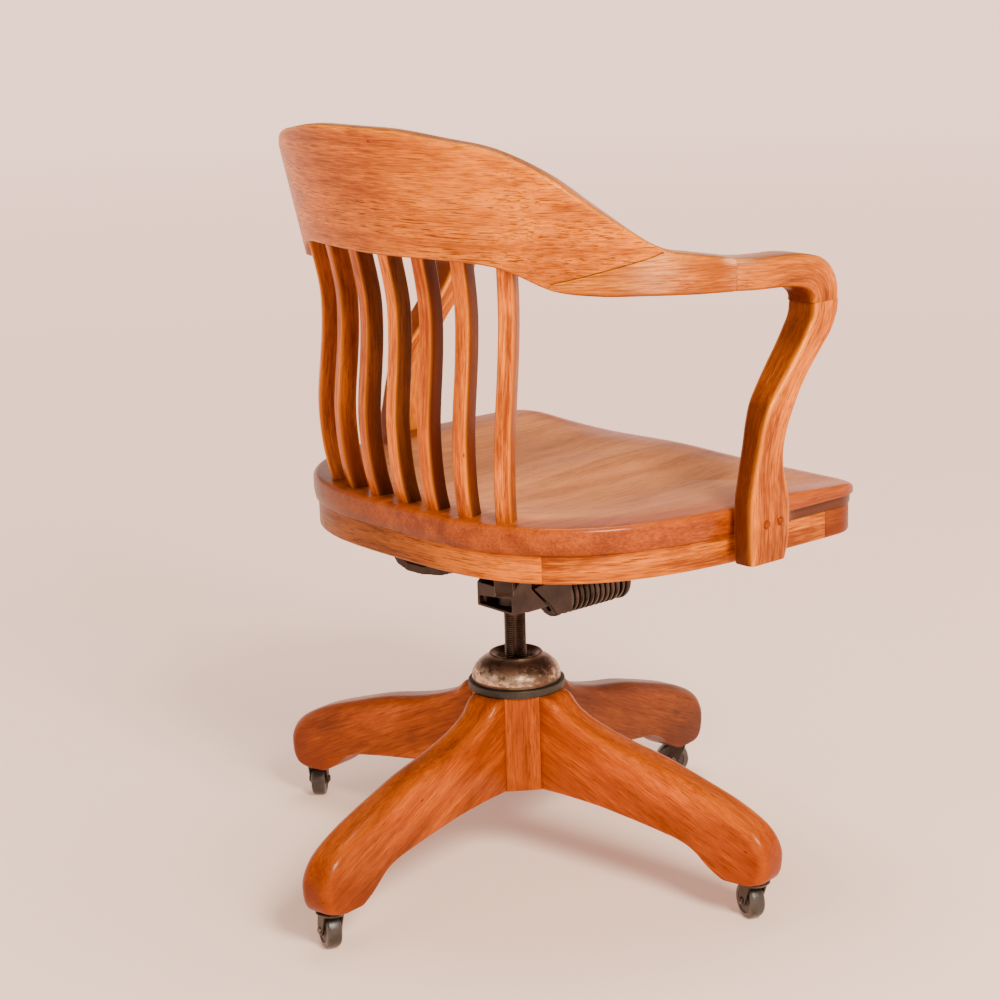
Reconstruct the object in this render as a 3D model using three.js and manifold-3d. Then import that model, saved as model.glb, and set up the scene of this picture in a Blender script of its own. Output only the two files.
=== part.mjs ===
// A bankers swivel chair: oak seat shell on a tilting iron, a screw spindle and a four-legged base.
// Millimetres, +Z up. The origin is on the floor under the spindle; the seat's front faces -Y.
import * as THREE from 'three';
import Module from 'manifold-3d';
import { mergeVertices } from 'three/addons/utils/BufferGeometryUtils.js';

const wasm = await Module();
wasm.setup();

// Clearances shared by all joints
const seatGap = 0.3;
const runningGap = 0.6;
const overrun = 5;

// Facets on round pieces
const fineSides = 24;
const roundSides = 16;
const smallSides = 12;
const wheelSides = 20;
const hexSides = 6;
const curveSteps = 48;
const seatRingStations = 26;
const armSteps = 5;
const slatRings = 12;

// Seat board
const seatTop = 445;
const seatThickness = 29;
const seatHalfWidth = 283;
const seatBack = 169;
const seatShoulderY = -228;
const seatCornerRadius = 47;
const seatCurvePower = 3.22;
const seatRimFlat = 42;
const seatEdgeRound = 6;
const seatFrontRoll = 22;
const seatUnderRound = 3;
const saddleDepth = 13;
const saddleRunOut = 7.5;
const rebateHeight = 12;
const rebateDepth = 8;
const rebateStartY = -148;

// Apron under the board
const apronInset = 5;
const apronThickness = 22;
const apronBottom = 385;
const apronEdge = 2;
const apronRearSeamY = 129;
const apronFrontSeamY = -206;

// Bow: crest rail and arms on one plan curve, outside the board by the foot of an arm post
const postFootThickness = 26.7;
const bowHalfWidth = seatHalfWidth + seatGap + postFootThickness;
const bowBack = 181;
const bowSpringY = -100;
const bowCurvePower = 2.13;
const armTopHeight = 702;
const crestRise = 145;
const crestEaveRise = 12;
const bowLean = 0.19;
const bowLeanRise = 3;
const crestPeak = armTopHeight + crestRise;
const crestEave = armTopHeight + crestEaveRise;
const bowLeanHeight = armTopHeight + bowLeanRise;
const crestTopThickness = 20;
const crestFootThickness = 38;
const armWidth = 47;
const armEdge = 7;
const crestEdge = 4;
const armJointY = -43;
const armFrontY = -193;
const scarfGap = 0.5;
const scarfDrop = 15;
const scarfRise = 22;
const scarfLow = armTopHeight - scarfDrop;
const scarfHigh = armTopHeight + scarfRise;
const bowFootDrop = 41;
const scarfShareSteps = 10;

// Arm corners and posts
const cornerHeight = 60;
const armDrop = 50;
const postTopZ = armTopHeight - armDrop;
const postBottomZ = 389;
const postRearY = -56;
const postTopThickness = 40;
const postEdge = 5;
const postScrewY = [-80, -101];
const postScrewZ = 430.5;
const buttonRadius = 3.9;
const buttonDepth = 4;
const postScrewRadius = 2.2;
const postScrewBite = 18;

// Slats
const slatCount = 7;
const slatWidth = 18.5;
const slatDepth = 21;
const slatEdge = 2.5;
const slatFootPitch = 47.9;
const slatHeadPitch = 54.1;
const slatFootInset = 16;
const slatHeadInset = 12;
const slatHeadSpread = 9;
const slatSway = 7.5;
const slatTurn = 1.2;
const tenonSide = 11;
const tenonLength = 14;

// Column: sleeve, bell nut, screw spindle
const spindleRadius = 12.3;
const spindleBottom = 100;
const spindleShoulder = 297;
const journalRadius = 10;
const journalTop = 333;
const keywayWidth = 7;
const keywayDepth = 2.2;
const keywayAngle = THREE.MathUtils.degToRad(140);
const spindleChamfer = 1.5;
const collarRadius = 17;
const collarHeight = 8;
const sleeveWall = 3.8;
const bellFootRadius = 50.2;
const bellFootHeight = 3;
const bellTop = 244;
const bellRimRadius = 29.8;
const bellRimWall = 3.8;
const bellRecess = 12;

// Base: hub block, legs, hub ring
const hubHalfSide = 48.9;
const hubTop = 204.2;
const hubBottom = 95;
const legWidth = 43;
const legTurn = THREE.MathUtils.degToRad(10.23);
const legReach = 345;
const legFootZ = 45.5;
const legEdge = 4;
const ringThickness = 8.8;
const ringRadius = 54.5;
const ringBore = 30;

// Casters
const legToe = 27;
const casterCircle = legReach - legToe;
const wheelRadius = 20;
const wheelWidth = 17;
const wheelRound = 3;
const casterTrail = 9;
const casterAxleRadius = 2.8;
const axleHeadRadius = 4.2;
const axleHeadHeight = 1;
const socketPlateRadius = 17;
const socketPlateThickness = 2.5;
const socketTubeRadius = 5.5;
const socketTubeHeight = 34;
const forkStemRadius = 3.7;
const forkPlateRadius = 14.5;
const forkPlateThickness = 1.8;
const forkEarThickness = 2.5;
const forkEyeRadius = 6.5;

// Yoke, tilt axle and seat iron
const yokeHalfWidth = 31;
const yokeWall = 7;
const yokeRear = 28;
const yokeFloor = 3.2;
const yokeSlotTop = 312;
const yokeRearTop = 325;
const yokeHubRadius = 17.5;
const yokeHubTop = 324;
const tiltAxisY = -30;
const tiltAxisZ = 352;
const tiltAxleRadius = 6;
const tiltAxleEnd = 3;
const earRadius = 13;
const yokeFootFront = -23.6;
const yokeThroatY = 0.3;
const yokeThroatFoot = 321.8;
const yokeThroatTop = 335.5;
const ironBossRadius = 12;
const ironSpineBottom = 350;
const ironSpineThickness = 12;
const ironSpineRear = 46;
const lugFront = -60;
const lugThickness = 8;
const lugFootZ = 284;
const lugHeelY = -37;
const lugKneeY = -28.3;
const lugKneeZ = 296.4;
const lugTipY = -3.2;
const lugTipZ = 321.5;
const lugShelfY = -10.2;
const lugShelfZ = 324;
const padHalfWidth = 13;
const padThickness = 10;
const ironArmWidth = 20;
const ironArmDrop = 336;
const ironRearPadRadius = 158;
const ironFrontPadX = 112;
const ironFrontPadY = -148;
const ironScrewRadius = 2.6;
const ironScrewHeadRadius = 5.5;
const ironScrewHeadHeight = 3;
const ironScrewBite = 15;

// Tilt spring on its tension bolt
const boltZ = 297;
const boltRadius = 5;
const boltBossY = -34;
const boltBossHalf = 9;
const springRadius = 24;
const springWire = 6;
const springTurns = 10;
const springEnd = -146;
const springCapRadius = 23;
const springCapThickness = 6;
const knobRadius = 24;
const knobLength = 9;
const knobRound = 5;

// Curves in shares of the sizes they follow
const ridgeShares = { height: 0.75, width: 0.16, start: 0.15, end: 0.75 };
const bowlShares = { full: 0.5, front: 0.7, start: 0.25, end: 0.6 };
const mouthShares = { start: 0.03, end: 0.3 };
const saddleReachShares = [0.1, 0.25, 0.42, 0.6, 0.8];
const boardEdgeShares = [[0.5, 0.13], [0.13, 0.5]];
const crestShares = [-0.36, -0.3, -0.24, -0.18, -0.12, -0.06, 0, 0.06, 0.12, 0.18, 0.24, 0.3, 0.36];
const frontWearShares = [[-1, 0.6], [-0.88, 0.95], [-0.7, 0.95], [-0.35, 0.85], [0, 0.45],
  [0.42, 0.85], [0.65, 0.6], [0.85, 0.12], [1, 0.1]];
const bellDomeShares = [[0.985, 0.13], [0.93, 0.27], [0.77, 0.47], [0.52, 0.69], [0.25, 0.87], [0, 1]];
const bowTopShares = [[0, 1], [0.108, 0.993], [0.205, 0.945], [0.299, 0.876], [0.39, 0.703],
  [0.476, 0.455], [0.564, 0.221], [0.608, 0.145], [0.653, 0.114], [0.729, 0.069],
  [0.821, 0.034], [0.876, 0.028], [0.928, 0], [1, 0]];
const bowFootShares = [[0, 1], [0.205, 1], [0.299, 0.854], [0.39, 0.342], [0.476, 0.171],
  [0.564, 0.146], [0.651, 0.11], [0.729, 0.085], [0.821, 0.024], [0.844, 0], [1, 0]];
const scarfShares = [[0.377, 0], [0.389, 0.19], [0.419, 0.297], [0.491, 0.568], [0.554, 0.811],
  [0.591, 1]];
const bowWidthShares = [[0, 0], [0.3, 0], [0.45, 0.12], [0.6, 0.45], [0.73, 0.85], [0.85, 1], [1, 1]];
const bowLeanShares = [[0, 1], [0.5, 1], [0.62, 0.55], [0.73, 0.1], [0.82, 0], [1, 0]];
const scarfStartShare = 0.384;
const scarfEndShare = 0.588;
const cornerOuterShares = [[0, 1], [0.213, 0.933], [0.413, 0.908], [0.593, 0.893], [0.747, 0.833],
  [0.867, 0.733], [0.953, 0.533], [0.997, 0.267], [1, 0]];
const cornerInnerShares = [[0, 0.417], [0.187, 0.383], [0.347, 0.367], [0.467, 0.35], [0.56, 0.325],
  [0.64, 0.275], [0.693, 0.195], [0.722, 0.1], [0.72, 0]];
const postRearShares = [[0.71, 1], [0.695, 0.947], [0.65, 0.905], [0.562, 0.837], [0.431, 0.753],
  [0.314, 0.684], [0.212, 0.62], [0.146, 0.548], [0.109, 0.479], [0.073, 0.411], [0.036, 0.331],
  [0.007, 0.259], [0, 0.156], [0, 0.061], [0.007, 0]];
const postFrontShares = [[1, 1], [0.985, 0.947], [0.92, 0.878], [0.81, 0.814], [0.686, 0.745],
  [0.584, 0.673], [0.511, 0.608], [0.453, 0.548], [0.409, 0.487], [0.387, 0.418], [0.401, 0.338],
  [0.445, 0.259], [0.453, 0.175], [0.438, 0.072], [0.401, 0]];
const postInnerShares = [[0, 0], [0.3, 0.05], [0.53, 0.25], [0.69, 0.8], [0.8, 1], [1, 1]];
const slatSwayShares = [[0, 0], [0.08, 0.6], [0.16, 0.9], [0.25, 1], [0.34, 0.88], [0.43, 0.45],
  [0.52, -0.08], [0.62, -0.6], [0.72, -0.92], [0.8, -0.96], [0.89, -0.62], [1, 0]];
const legTopShares = [[0, 1], [0.044, 0.988], [0.085, 0.929], [0.126, 0.882], [0.177, 0.841],
  [0.262, 0.79], [0.354, 0.749], [0.493, 0.695], [0.626, 0.623], [0.759, 0.544], [0.847, 0.48],
  [0.929, 0.398], [0.973, 0.322], [0.997, 0.234], [1, 0.158], [0.993, 0.076], [0.976, 0.025],
  [0.946, 0]];
const legFootShares = [[0, 0.31], [0.031, 0.31], [0.065, 0.31], [0.099, 0.309], [0.15, 0.305],
  [0.259, 0.294], [0.337, 0.278], [0.456, 0.25], [0.558, 0.221], [0.616, 0.202], [0.667, 0.171],
  [0.704, 0.13], [0.735, 0.082], [0.762, 0.047], [0.782, 0.025], [0.796, 0.013], [0.806, 0.004],
  [0.82, 0]];
const ironArmShares = [[0, 0.2, 0], [0.12, 0.06, 0], [0.28, 0, 0], [0.45, 0.02, 0],
  [0.57, 0.08, 0], [0.66, 0.2, 0.03], [0.72, 0.42, 0.2], [0.77, 0.75, 0.6], [0.81, 1, 1], [1, 1, 1]];

// Finishes
const finish = {
  oak: { color: 0xc8762e, roughness: 0.32, metalness: 0 },
  seatOak: { color: 0xa96a3c, roughness: 0.5, metalness: 0 },
  legOak: { color: 0xb4571f, roughness: 0.3, metalness: 0 },
  iron: { color: 0x2c2320, roughness: 0.6, metalness: 0.7 },
  steel: { color: 0x4a4440, roughness: 0.45, metalness: 0.9 },
  bell: { color: 0x6f5c4a, roughness: 0.35, metalness: 0.9 },
  ring: { color: 0x3d403a, roughness: 0.55, metalness: 0.6 },
  caster: { color: 0x332c2a, roughness: 0.5, metalness: 0.6 },
};

const chair = new THREE.Group();

// Helpers: curves

// A smooth curve through rows of [at, value], level with its neighbours' slope at each row.
function curveThrough(rows) {
  const slopeAt = (i) => {
    const before = rows[Math.max(i - 1, 0)];
    const after = rows[Math.min(i + 1, rows.length - 1)];
    return (after[1] - before[1]) / (after[0] - before[0]);
  };
  return (at) => {
    const last = rows.length - 2;
    let i = 0;
    while (i < last && at > rows[i + 1][0]) i += 1;
    const span = rows[i + 1][0] - rows[i][0];
    const t = THREE.MathUtils.clamp((at - rows[i][0]) / span, 0, 1);
    const rise = rows[i + 1][1] - rows[i][1];
    const bendStart = slopeAt(i) * span - rise;
    const bendEnd = rise - slopeAt(i + 1) * span;
    return rows[i][1] + t * rise + t * (1 - t) * ((1 - t) * bendStart + t * bendEnd);
  };
}

const superPoint = (angle, halfWidth, depth, y0, power) => new THREE.Vector2(
  halfWidth * Math.cos(angle) ** (2 / power),
  y0 + depth * Math.sin(angle) ** (2 / power),
);

// One half of a plan curve, from its back centre round the +X side; negative stations mirror it.
class PlanPath {
  constructor(points) {
    this.points = points;
    this.lengths = [0];
    points.slice(1).forEach((point, i) => {
      this.lengths.push(this.lengths[i] + point.distanceTo(points[i]));
    });
    this.length = this.lengths.at(-1);
    const last = points.length - 1;
    this.normals = points.map((point, i) => {
      const before = points[Math.max(i - 1, 0)];
      const after = points[Math.min(i + 1, last)];
      const normal = new THREE.Vector2(before.y - after.y, after.x - before.x).normalize();
      return i === 0 ? new THREE.Vector2(0, 1) : normal;
    });
  }

  at(station, inset = 0) {
    const s = Math.min(Math.abs(station), this.length);
    let i = 0;
    while (i < this.points.length - 2 && s > this.lengths[i + 1]) i += 1;
    const t = (s - this.lengths[i]) / (this.lengths[i + 1] - this.lengths[i]);
    const point = this.points[i].clone().lerp(this.points[i + 1], t);
    const normal = this.normals[i].clone().lerp(this.normals[i + 1], t).normalize();
    point.addScaledVector(normal, -inset);
    const side = Math.sign(station) || 1;
    point.x *= side;
    normal.x *= side;
    return { point, normal };
  }

  // The station whose inset point has the wanted coordinate, which grows or falls all the way.
  find(coordinate, value, inset = 0) {
    let low = 0;
    let high = this.length;
    const falling = this.at(0, inset).point[coordinate] > this.at(high / 2, inset).point[coordinate];
    for (let step = 0; step < 40; step += 1) {
      const middle = (low + high) / 2;
      const past = this.at(middle, inset).point[coordinate] > value;
      if (past === falling) low = middle;
      else high = middle;
    }
    return low;
  }
}

function bowPath() {
  const points = [];
  for (let i = 0; i <= curveSteps; i += 1) {
    const angle = (Math.PI / 2) * (1 - i / curveSteps);
    points.push(superPoint(angle, bowHalfWidth, bowBack - bowSpringY, bowSpringY, bowCurvePower));
  }
  points.push(new THREE.Vector2(bowHalfWidth, armFrontY));
  return new PlanPath(points);
}

function seatPath() {
  const points = [];
  const depth = seatBack - seatShoulderY;
  for (let i = 0; i <= curveSteps; i += 1) {
    const angle = (Math.PI / 2) * (1 - i / curveSteps);
    points.push(superPoint(angle, seatHalfWidth, depth, seatShoulderY, seatCurvePower));
  }
  for (let i = 1; i <= smallSides; i += 1) {
    const angle = (-Math.PI / 2) * (i / smallSides);
    points.push(new THREE.Vector2(
      seatHalfWidth - seatCornerRadius + seatCornerRadius * Math.cos(angle),
      seatShoulderY + seatCornerRadius * Math.sin(angle),
    ));
  }
  points.push(new THREE.Vector2(0, seatShoulderY - seatCornerRadius));
  return new PlanPath(points);
}

const bow = bowPath();
const seatEdge = seatPath();

// Helpers: solids

function geometryOf(positions, triangles) {
  const geometry = new THREE.BufferGeometry();
  geometry.setAttribute('position', new THREE.Float32BufferAttribute(positions, 3));
  geometry.setIndex(triangles);
  return geometry;
}

// Turns a closed surface of any winding into a solid that can be joined and cut.
function toSolid(geometry) {
  const bare = geometry.clone();
  bare.deleteAttribute('normal');
  bare.deleteAttribute('uv');
  const merged = mergeVertices(bare);
  const index = merged.index.array;
  const corner = merged.attributes.position;
  const kept = [];
  let volume = 0;
  const [a, b, c] = [new THREE.Vector3(), new THREE.Vector3(), new THREE.Vector3()];
  for (let i = 0; i < index.length; i += 3) {
    const [p, q, r] = [index[i], index[i + 1], index[i + 2]];
    if (p !== q && q !== r && r !== p) {
      kept.push(p, q, r);
      a.fromBufferAttribute(corner, p);
      b.fromBufferAttribute(corner, q);
      c.fromBufferAttribute(corner, r);
      volume += a.dot(b.cross(c));
    }
  }
  if (volume < 0) kept.reverse();
  return new wasm.Manifold(new wasm.Mesh({
    numProp: 3,
    vertProperties: new Float32Array(corner.array),
    triVerts: new Uint32Array(kept),
  }));
}

const join = (...solids) => solids.reduce((whole, next) => whole.add(next));
const cut = (solid, ...tools) => tools.reduce((rest, tool) => rest.subtract(tool), solid);

function addPiece(name, solid, look) {
  const mesh = solid.getMesh();
  const geometry = geometryOf(Array.from(mesh.vertProperties), Array.from(mesh.triVerts));
  const material = new THREE.MeshStandardMaterial({ ...finish[look], flatShading: true });
  const piece = new THREE.Mesh(geometry, material);
  piece.name = name;
  chair.add(piece);
}

// A skin over rings of equal point counts, closed by a fan at each end, or joined end to end.
function loft(rings) {
  const count = rings[0].length;
  const positions = rings.flat().flatMap((point) => [point.x, point.y, point.z]);
  const triangles = [];
  for (let ring = 0; ring < rings.length - 1; ring += 1) {
    for (let i = 0; i < count; i += 1) {
      const near = ring * count + i;
      const next = ring * count + ((i + 1) % count);
      triangles.push(near, next, next + count, near, next + count, near + count);
    }
  }
  const ends = [[0, rings[0]], [rings.length - 1, rings.at(-1)]];
  ends.forEach(([ring, points], end) => {
    const centre = points.reduce((sum, point) => sum.add(point), new THREE.Vector3());
    centre.divideScalar(count);
    positions.push(centre.x, centre.y, centre.z);
    const hub = positions.length / 3 - 1;
    for (let i = 0; i < count; i += 1) {
      const near = ring * count + i;
      const next = ring * count + ((i + 1) % count);
      triangles.push(hub, ...(end ? [near, next] : [next, near]));
    }
  });
  return toSolid(geometryOf(positions, triangles));
}

// A four-cornered section with each corner cut back along both of its sides.
function section(corners, edge) {
  return corners.flatMap((corner, i) => {
    const before = corners[(i + corners.length - 1) % corners.length];
    const after = corners[(i + 1) % corners.length];
    return [before, after].map((other) => {
      const side = other.clone().sub(corner);
      const back = Math.min(edge, side.length() / 3);
      return corner.clone().addScaledVector(side.normalize(), back);
    });
  });
}

// A turned solid from [radius, height] points; it closes on the axis or on its own first point.
function turned(profile, sides = roundSides) {
  const points = profile.map(([radius, height]) => new THREE.Vector2(radius, height));
  if (profile[0][0] > 0) points.push(points[0].clone());
  return toSolid(new THREE.LatheGeometry(points, sides).rotateX(Math.PI / 2));
}

// A round rod between two points.
function rod(from, to, radius, sides = smallSides) {
  const along = to.clone().sub(from);
  const geometry = new THREE.CylinderGeometry(radius, radius, along.length(), sides);
  const up = new THREE.Vector3(0, 1, 0);
  geometry.applyQuaternion(new THREE.Quaternion().setFromUnitVectors(up, along.clone().normalize()));
  geometry.translate(...from.clone().addScaledVector(along, 0.5).toArray());
  return toSolid(geometry);
}

const rodX = (x0, x1, y, z, radius, sides) => rod(
  new THREE.Vector3(x0, y, z),
  new THREE.Vector3(x1, y, z),
  radius,
  sides,
);
const rodY = (y0, y1, x, z, radius, sides) => rod(
  new THREE.Vector3(x, y0, z),
  new THREE.Vector3(x, y1, z),
  radius,
  sides,
);
const rodZ = (z0, z1, x, y, radius, sides) => rod(
  new THREE.Vector3(x, y, z0),
  new THREE.Vector3(x, y, z1),
  radius,
  sides,
);

// A plate whose outline is [y, z] points, spanning x0 to x1.
function sidePlate(outline, x0, x1) {
  const shape = new THREE.Shape(outline.map(([y, z]) => new THREE.Vector2(y, z)));
  const geometry = new THREE.ExtrudeGeometry(shape, { depth: x1 - x0, bevelEnabled: false });
  const axes = new THREE.Matrix4().set(0, 0, 1, x0, 1, 0, 0, 0, 0, 1, 0, 0, 0, 0, 0, 1);
  return toSolid(geometry.applyMatrix4(axes));
}

function block(x0, x1, y0, y1, z0, z1) {
  const geometry = new THREE.BoxGeometry(x1 - x0, y1 - y0, z1 - z0);
  return toSolid(geometry.translate((x0 + x1) / 2, (y0 + y1) / 2, (z0 + z1) / 2));
}

const turnedZ = (solid, angle) => solid.rotate([0, 0, THREE.MathUtils.radToDeg(angle)]);
const smoothStep = THREE.MathUtils.smoothstep;

// Seat board

const seatBottom = seatTop - seatThickness;
const seatFront = seatShoulderY - seatCornerRadius;

const frontWearCurve = curveThrough(frontWearShares);

// How far the saddled top lies below the rim. Reach is 0 at the flat rim and 1 at the middle.
function saddleAt(x, y, reach) {
  const across = x / seatHalfWidth;
  const back = (y - seatFront) / (seatBack - seatFront);
  const crestOfRidge = ridgeShares.height * Math.exp(-((across / ridgeShares.width) ** 2));
  const ridge = crestOfRidge * (1 - smoothStep(back, ridgeShares.start, ridgeShares.end));
  const deepening = smoothStep(back, bowlShares.start, bowlShares.end);
  const bowl = smoothStep(reach, 0, bowlShares.full) * THREE.MathUtils.lerp(bowlShares.front, 1, deepening);
  const opening = 1 - smoothStep(back, mouthShares.start, mouthShares.end);
  const mouth = saddleRunOut * frontWearCurve(across) * opening;
  return saddleDepth * bowl * (1 - ridge) + mouth;
}

const slatFootMiddle = slatFootInset + slatDepth / 2;

function slatStations() {
  return Array.from({ length: slatCount }, (unused, i) => {
    const step = i - (slatCount - 1) / 2;
    const side = Math.sign(step) || 1;
    const foot = side * seatEdge.find('x', Math.abs(step) * slatFootPitch, slatFootInset);
    const spread = slatHeadSpread * (2 * step / (slatCount - 1)) ** 2;
    const headInset = slatHeadInset - spread + slatDepth / 2;
    const head = side * bow.find('x', Math.abs(step) * slatHeadPitch, headInset - slatDepth / 2);
    return { foot, head, headInset };
  });
}

// A level section of a slat or its tenon about a point of a plan path.
function slatSection(path, station, inset, width, depth, edge, z) {
  const { point, normal } = path.at(station, inset);
  const across = new THREE.Vector3(-normal.y, normal.x, 0).multiplyScalar(width / 2);
  const deep = new THREE.Vector3(normal.x, normal.y, 0).multiplyScalar(depth / 2);
  const centre = new THREE.Vector3(point.x, point.y, z);
  const corners = [[1, 1], [-1, 1], [-1, -1], [1, -1]].map(([u, v]) => centre.clone()
    .addScaledVector(across, u)
    .addScaledVector(deep, v));
  return section(corners, edge);
}

function mortise(path, station, inset, z0, z1) {
  const side = tenonSide + 2 * seatGap;
  return loft([z0, z1].map((z) => slatSection(path, station, inset, side, side, seatGap, z)));
}

function seatRing(heightAt, insetAt) {
  const ring = [];
  for (let i = -seatRingStations; i < seatRingStations; i += 1) {
    const station = seatEdge.length * (i / seatRingStations);
    const { normal } = seatEdge.at(station);
    const { point } = seatEdge.at(station, insetAt(normal, station));
    ring.push(new THREE.Vector3(point.x, point.y, heightAt(normal, point)));
  }
  return ring;
}

function seatBoard() {
  const rebateStart = seatEdge.find('y', rebateStartY);
  const level = (z) => () => z;
  const foot = (normal, station) => (Math.abs(station) > rebateStart ? rebateDepth : seatUnderRound);
  const face = () => 0;
  const frontness = (normal) => Math.max(-normal.y, 0) ** 2;
  const roll = (normal) => seatEdgeRound + (seatFrontRoll - seatEdgeRound) * frontness(normal);
  const drop = (share) => (normal, point) => (
    seatTop - share * Math.min(roll(normal), seatThickness - rebateHeight - seatGap)
      - saddleAt(point.x, point.y, 0) * (1 - share)
  );
  const rings = [
    seatRing(level(seatBottom), foot),
    seatRing(level(seatBottom + rebateHeight - seatGap), (normal, station) => (
      Math.abs(station) > rebateStart ? rebateDepth : 0)),
    seatRing(level(seatBottom + rebateHeight), face),
    seatRing(drop(1), face),
    ...boardEdgeShares.map(([down, into]) => seatRing(drop(down), (normal) => into * roll(normal))),
    seatRing(drop(0), (normal) => Math.min(roll(normal), seatRimFlat)),
    seatRing(drop(0), () => seatRimFlat),
  ];
  const middle = new THREE.Vector2(0, (seatBack + seatFront) / 2);
  const rim = rings.at(-1);
  saddleReachShares.forEach((reach) => {
    rings.push(rim.map((point) => {
      const x = THREE.MathUtils.lerp(point.x, middle.x, reach);
      const y = THREE.MathUtils.lerp(point.y, middle.y, reach);
      return new THREE.Vector3(x, y, seatTop - saddleAt(x, y, reach));
    }));
  });
  return loft(rings);
}

function ironPads() {
  const rear = ironRearPadRadius * Math.SQRT1_2;
  return [
    [rear, rear],
    [-rear, rear],
    [ironFrontPadX, ironFrontPadY],
    [-ironFrontPadX, ironFrontPadY],
  ];
}

function addSeatBoard() {
  const mortises = slatStations().map(({ foot }) => mortise(
    seatEdge,
    foot,
    slatFootMiddle,
    seatTop - tenonLength - seatGap,
    seatTop + overrun,
  ));
  const pilots = ironPads().map(([x, y]) => rodZ(
    seatBottom - overrun,
    seatBottom + ironScrewBite + seatGap,
    x,
    y,
    ironScrewRadius + seatGap,
  ));
  const postHoles = [-1, 1].flatMap((side) => postScrewY.map((y) => rodX(
    side * (seatHalfWidth + overrun),
    side * (seatHalfWidth - postScrewBite - seatGap),
    y,
    postScrewZ,
    postScrewRadius + seatGap,
  )));
  addPiece('seat_board', cut(seatBoard(), ...mortises, ...pilots, ...postHoles), 'seatOak');
}

// Apron rails, a band under the board in four lengths

function apronBand(from, to) {
  const steps = Math.max(2, Math.round((Math.abs(to - from) / seatEdge.length) * curveSteps / 2));
  const rings = [];
  for (let i = 0; i <= steps; i += 1) {
    const station = THREE.MathUtils.lerp(from, to, i / steps);
    const wrapped = Math.abs(station) > seatEdge.length ? station - 2 * seatEdge.length : station;
    const outer = seatEdge.at(wrapped, apronInset).point;
    const inner = seatEdge.at(wrapped, apronInset + apronThickness).point;
    const low = apronBottom;
    const high = seatBottom - seatGap;
    rings.push(section([
      new THREE.Vector3(outer.x, outer.y, low),
      new THREE.Vector3(outer.x, outer.y, high),
      new THREE.Vector3(inner.x, inner.y, high),
      new THREE.Vector3(inner.x, inner.y, low),
    ], apronEdge));
  }
  return loft(rings);
}

function addAprons() {
  const rear = seatEdge.find('y', apronRearSeamY) - seatGap / 2;
  const front = seatEdge.find('y', apronFrontSeamY) - seatGap / 2;
  addPiece('apron_rear', apronBand(-rear, rear), 'oak');
  addPiece('apron_left', apronBand(rear + seatGap, front), 'oak');
  addPiece('apron_right', apronBand(-rear - seatGap, -front), 'oak');
  const around = 2 * seatEdge.length - front - seatGap;
  addPiece('apron_front', apronBand(front + seatGap, around), 'oak');
}

// Bow pieces: crest rail and arms, joined on long scarfs

const bowTopCurve = curveThrough(bowTopShares);
const bowFootCurve = curveThrough(bowFootShares);
const scarfCurve = curveThrough(scarfShares);
const bowWidthCurve = curveThrough(bowWidthShares);
const bowLeanCurve = curveThrough(bowLeanShares);

const bowTopAt = (share) => armTopHeight + (crestPeak - armTopHeight) * bowTopCurve(share);
const bowFootAt = (share) => crestEave - bowFootDrop * (1 - bowFootCurve(share));
const scarfAt = (share) => scarfLow + (scarfHigh - scarfLow) * scarfCurve(share);

// A section of the bow at a station, between two heights.
function bowSection(station, low, high, edge) {
  const share = Math.abs(station) / bow.length;
  const { point, normal } = bow.at(station);
  const widen = bowWidthCurve(share);
  const thickness = (z) => {
    const rise = THREE.MathUtils.clamp((z - crestEave) / (crestPeak - crestEave), 0, 1);
    const crest = THREE.MathUtils.lerp(crestFootThickness, crestTopThickness, rise);
    return THREE.MathUtils.lerp(crest, armWidth, widen);
  };
  const lean = bowLean * bowLeanCurve(share);
  const place = (inset, z) => {
    const out = lean * (z - bowLeanHeight) - inset;
    return new THREE.Vector3(point.x + normal.x * out, point.y + normal.y * out, z);
  };
  return section([
    place(0, low),
    place(0, high),
    place(thickness(high), high),
    place(thickness(low), low),
  ], edge);
}

const scarfStep = (i) => THREE.MathUtils.lerp(scarfStartShare, scarfEndShare, i / scarfShareSteps);

function crestRail() {
  const shoulder = (scarfStartShare * bow.length - 3 * seatGap) / bow.length;
  const scarf = Array.from({ length: scarfShareSteps + 1 }, (unused, i) => (
    i === 0 ? scarfStep(0) - seatGap / bow.length : scarfStep(i)));
  const shares = [
    ...scarf.map((share) => -share).reverse(),
    -shoulder,
    ...crestShares,
    shoulder,
    ...scarf,
  ];
  return loft(shares.map((share) => {
    const size = Math.abs(share);
    const low = size > shoulder ? scarfAt(size) + scarfGap / 2 : bowFootAt(size);
    return bowSection(share * bow.length, low, bowTopAt(size), crestEdge);
  }));
}

function addCrestRail() {
  const mortises = slatStations().map(({ head, headInset }) => {
    const eave = bowFootAt(Math.abs(head) / bow.length);
    return mortise(bow, head, headInset, eave - overrun, eave + tenonLength + seatGap);
  });
  addPiece('crest_rail', cut(crestRail(), ...mortises), 'oak');
}

function arm(side) {
  const scarf = Array.from({ length: scarfShareSteps + 1 }, (unused, i) => scarfStep(i));
  const past = scarfEndShare + (3 * seatGap) / bow.length;
  const joint = bow.find('y', armJointY - armWidth / 2) / bow.length;
  const rings = scarf.map((share, i) => {
    const end = i === scarfShareSteps ? seatGap / bow.length : 0;
    const station = side * (share + end) * bow.length;
    return bowSection(station, bowFootAt(share), scarfAt(share) - scarfGap / 2, armEdge);
  });
  for (let i = 0; i <= armSteps; i += 1) {
    const share = THREE.MathUtils.lerp(past, joint, i / armSteps);
    rings.push(bowSection(side * share * bow.length, bowFootAt(share), bowTopAt(share), armEdge));
  }
  const beyond = armWidth + bowHalfWidth;
  return cut(loft(rings), block(-beyond, beyond, armFrontY, armJointY, postTopZ, crestPeak));
}

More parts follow.
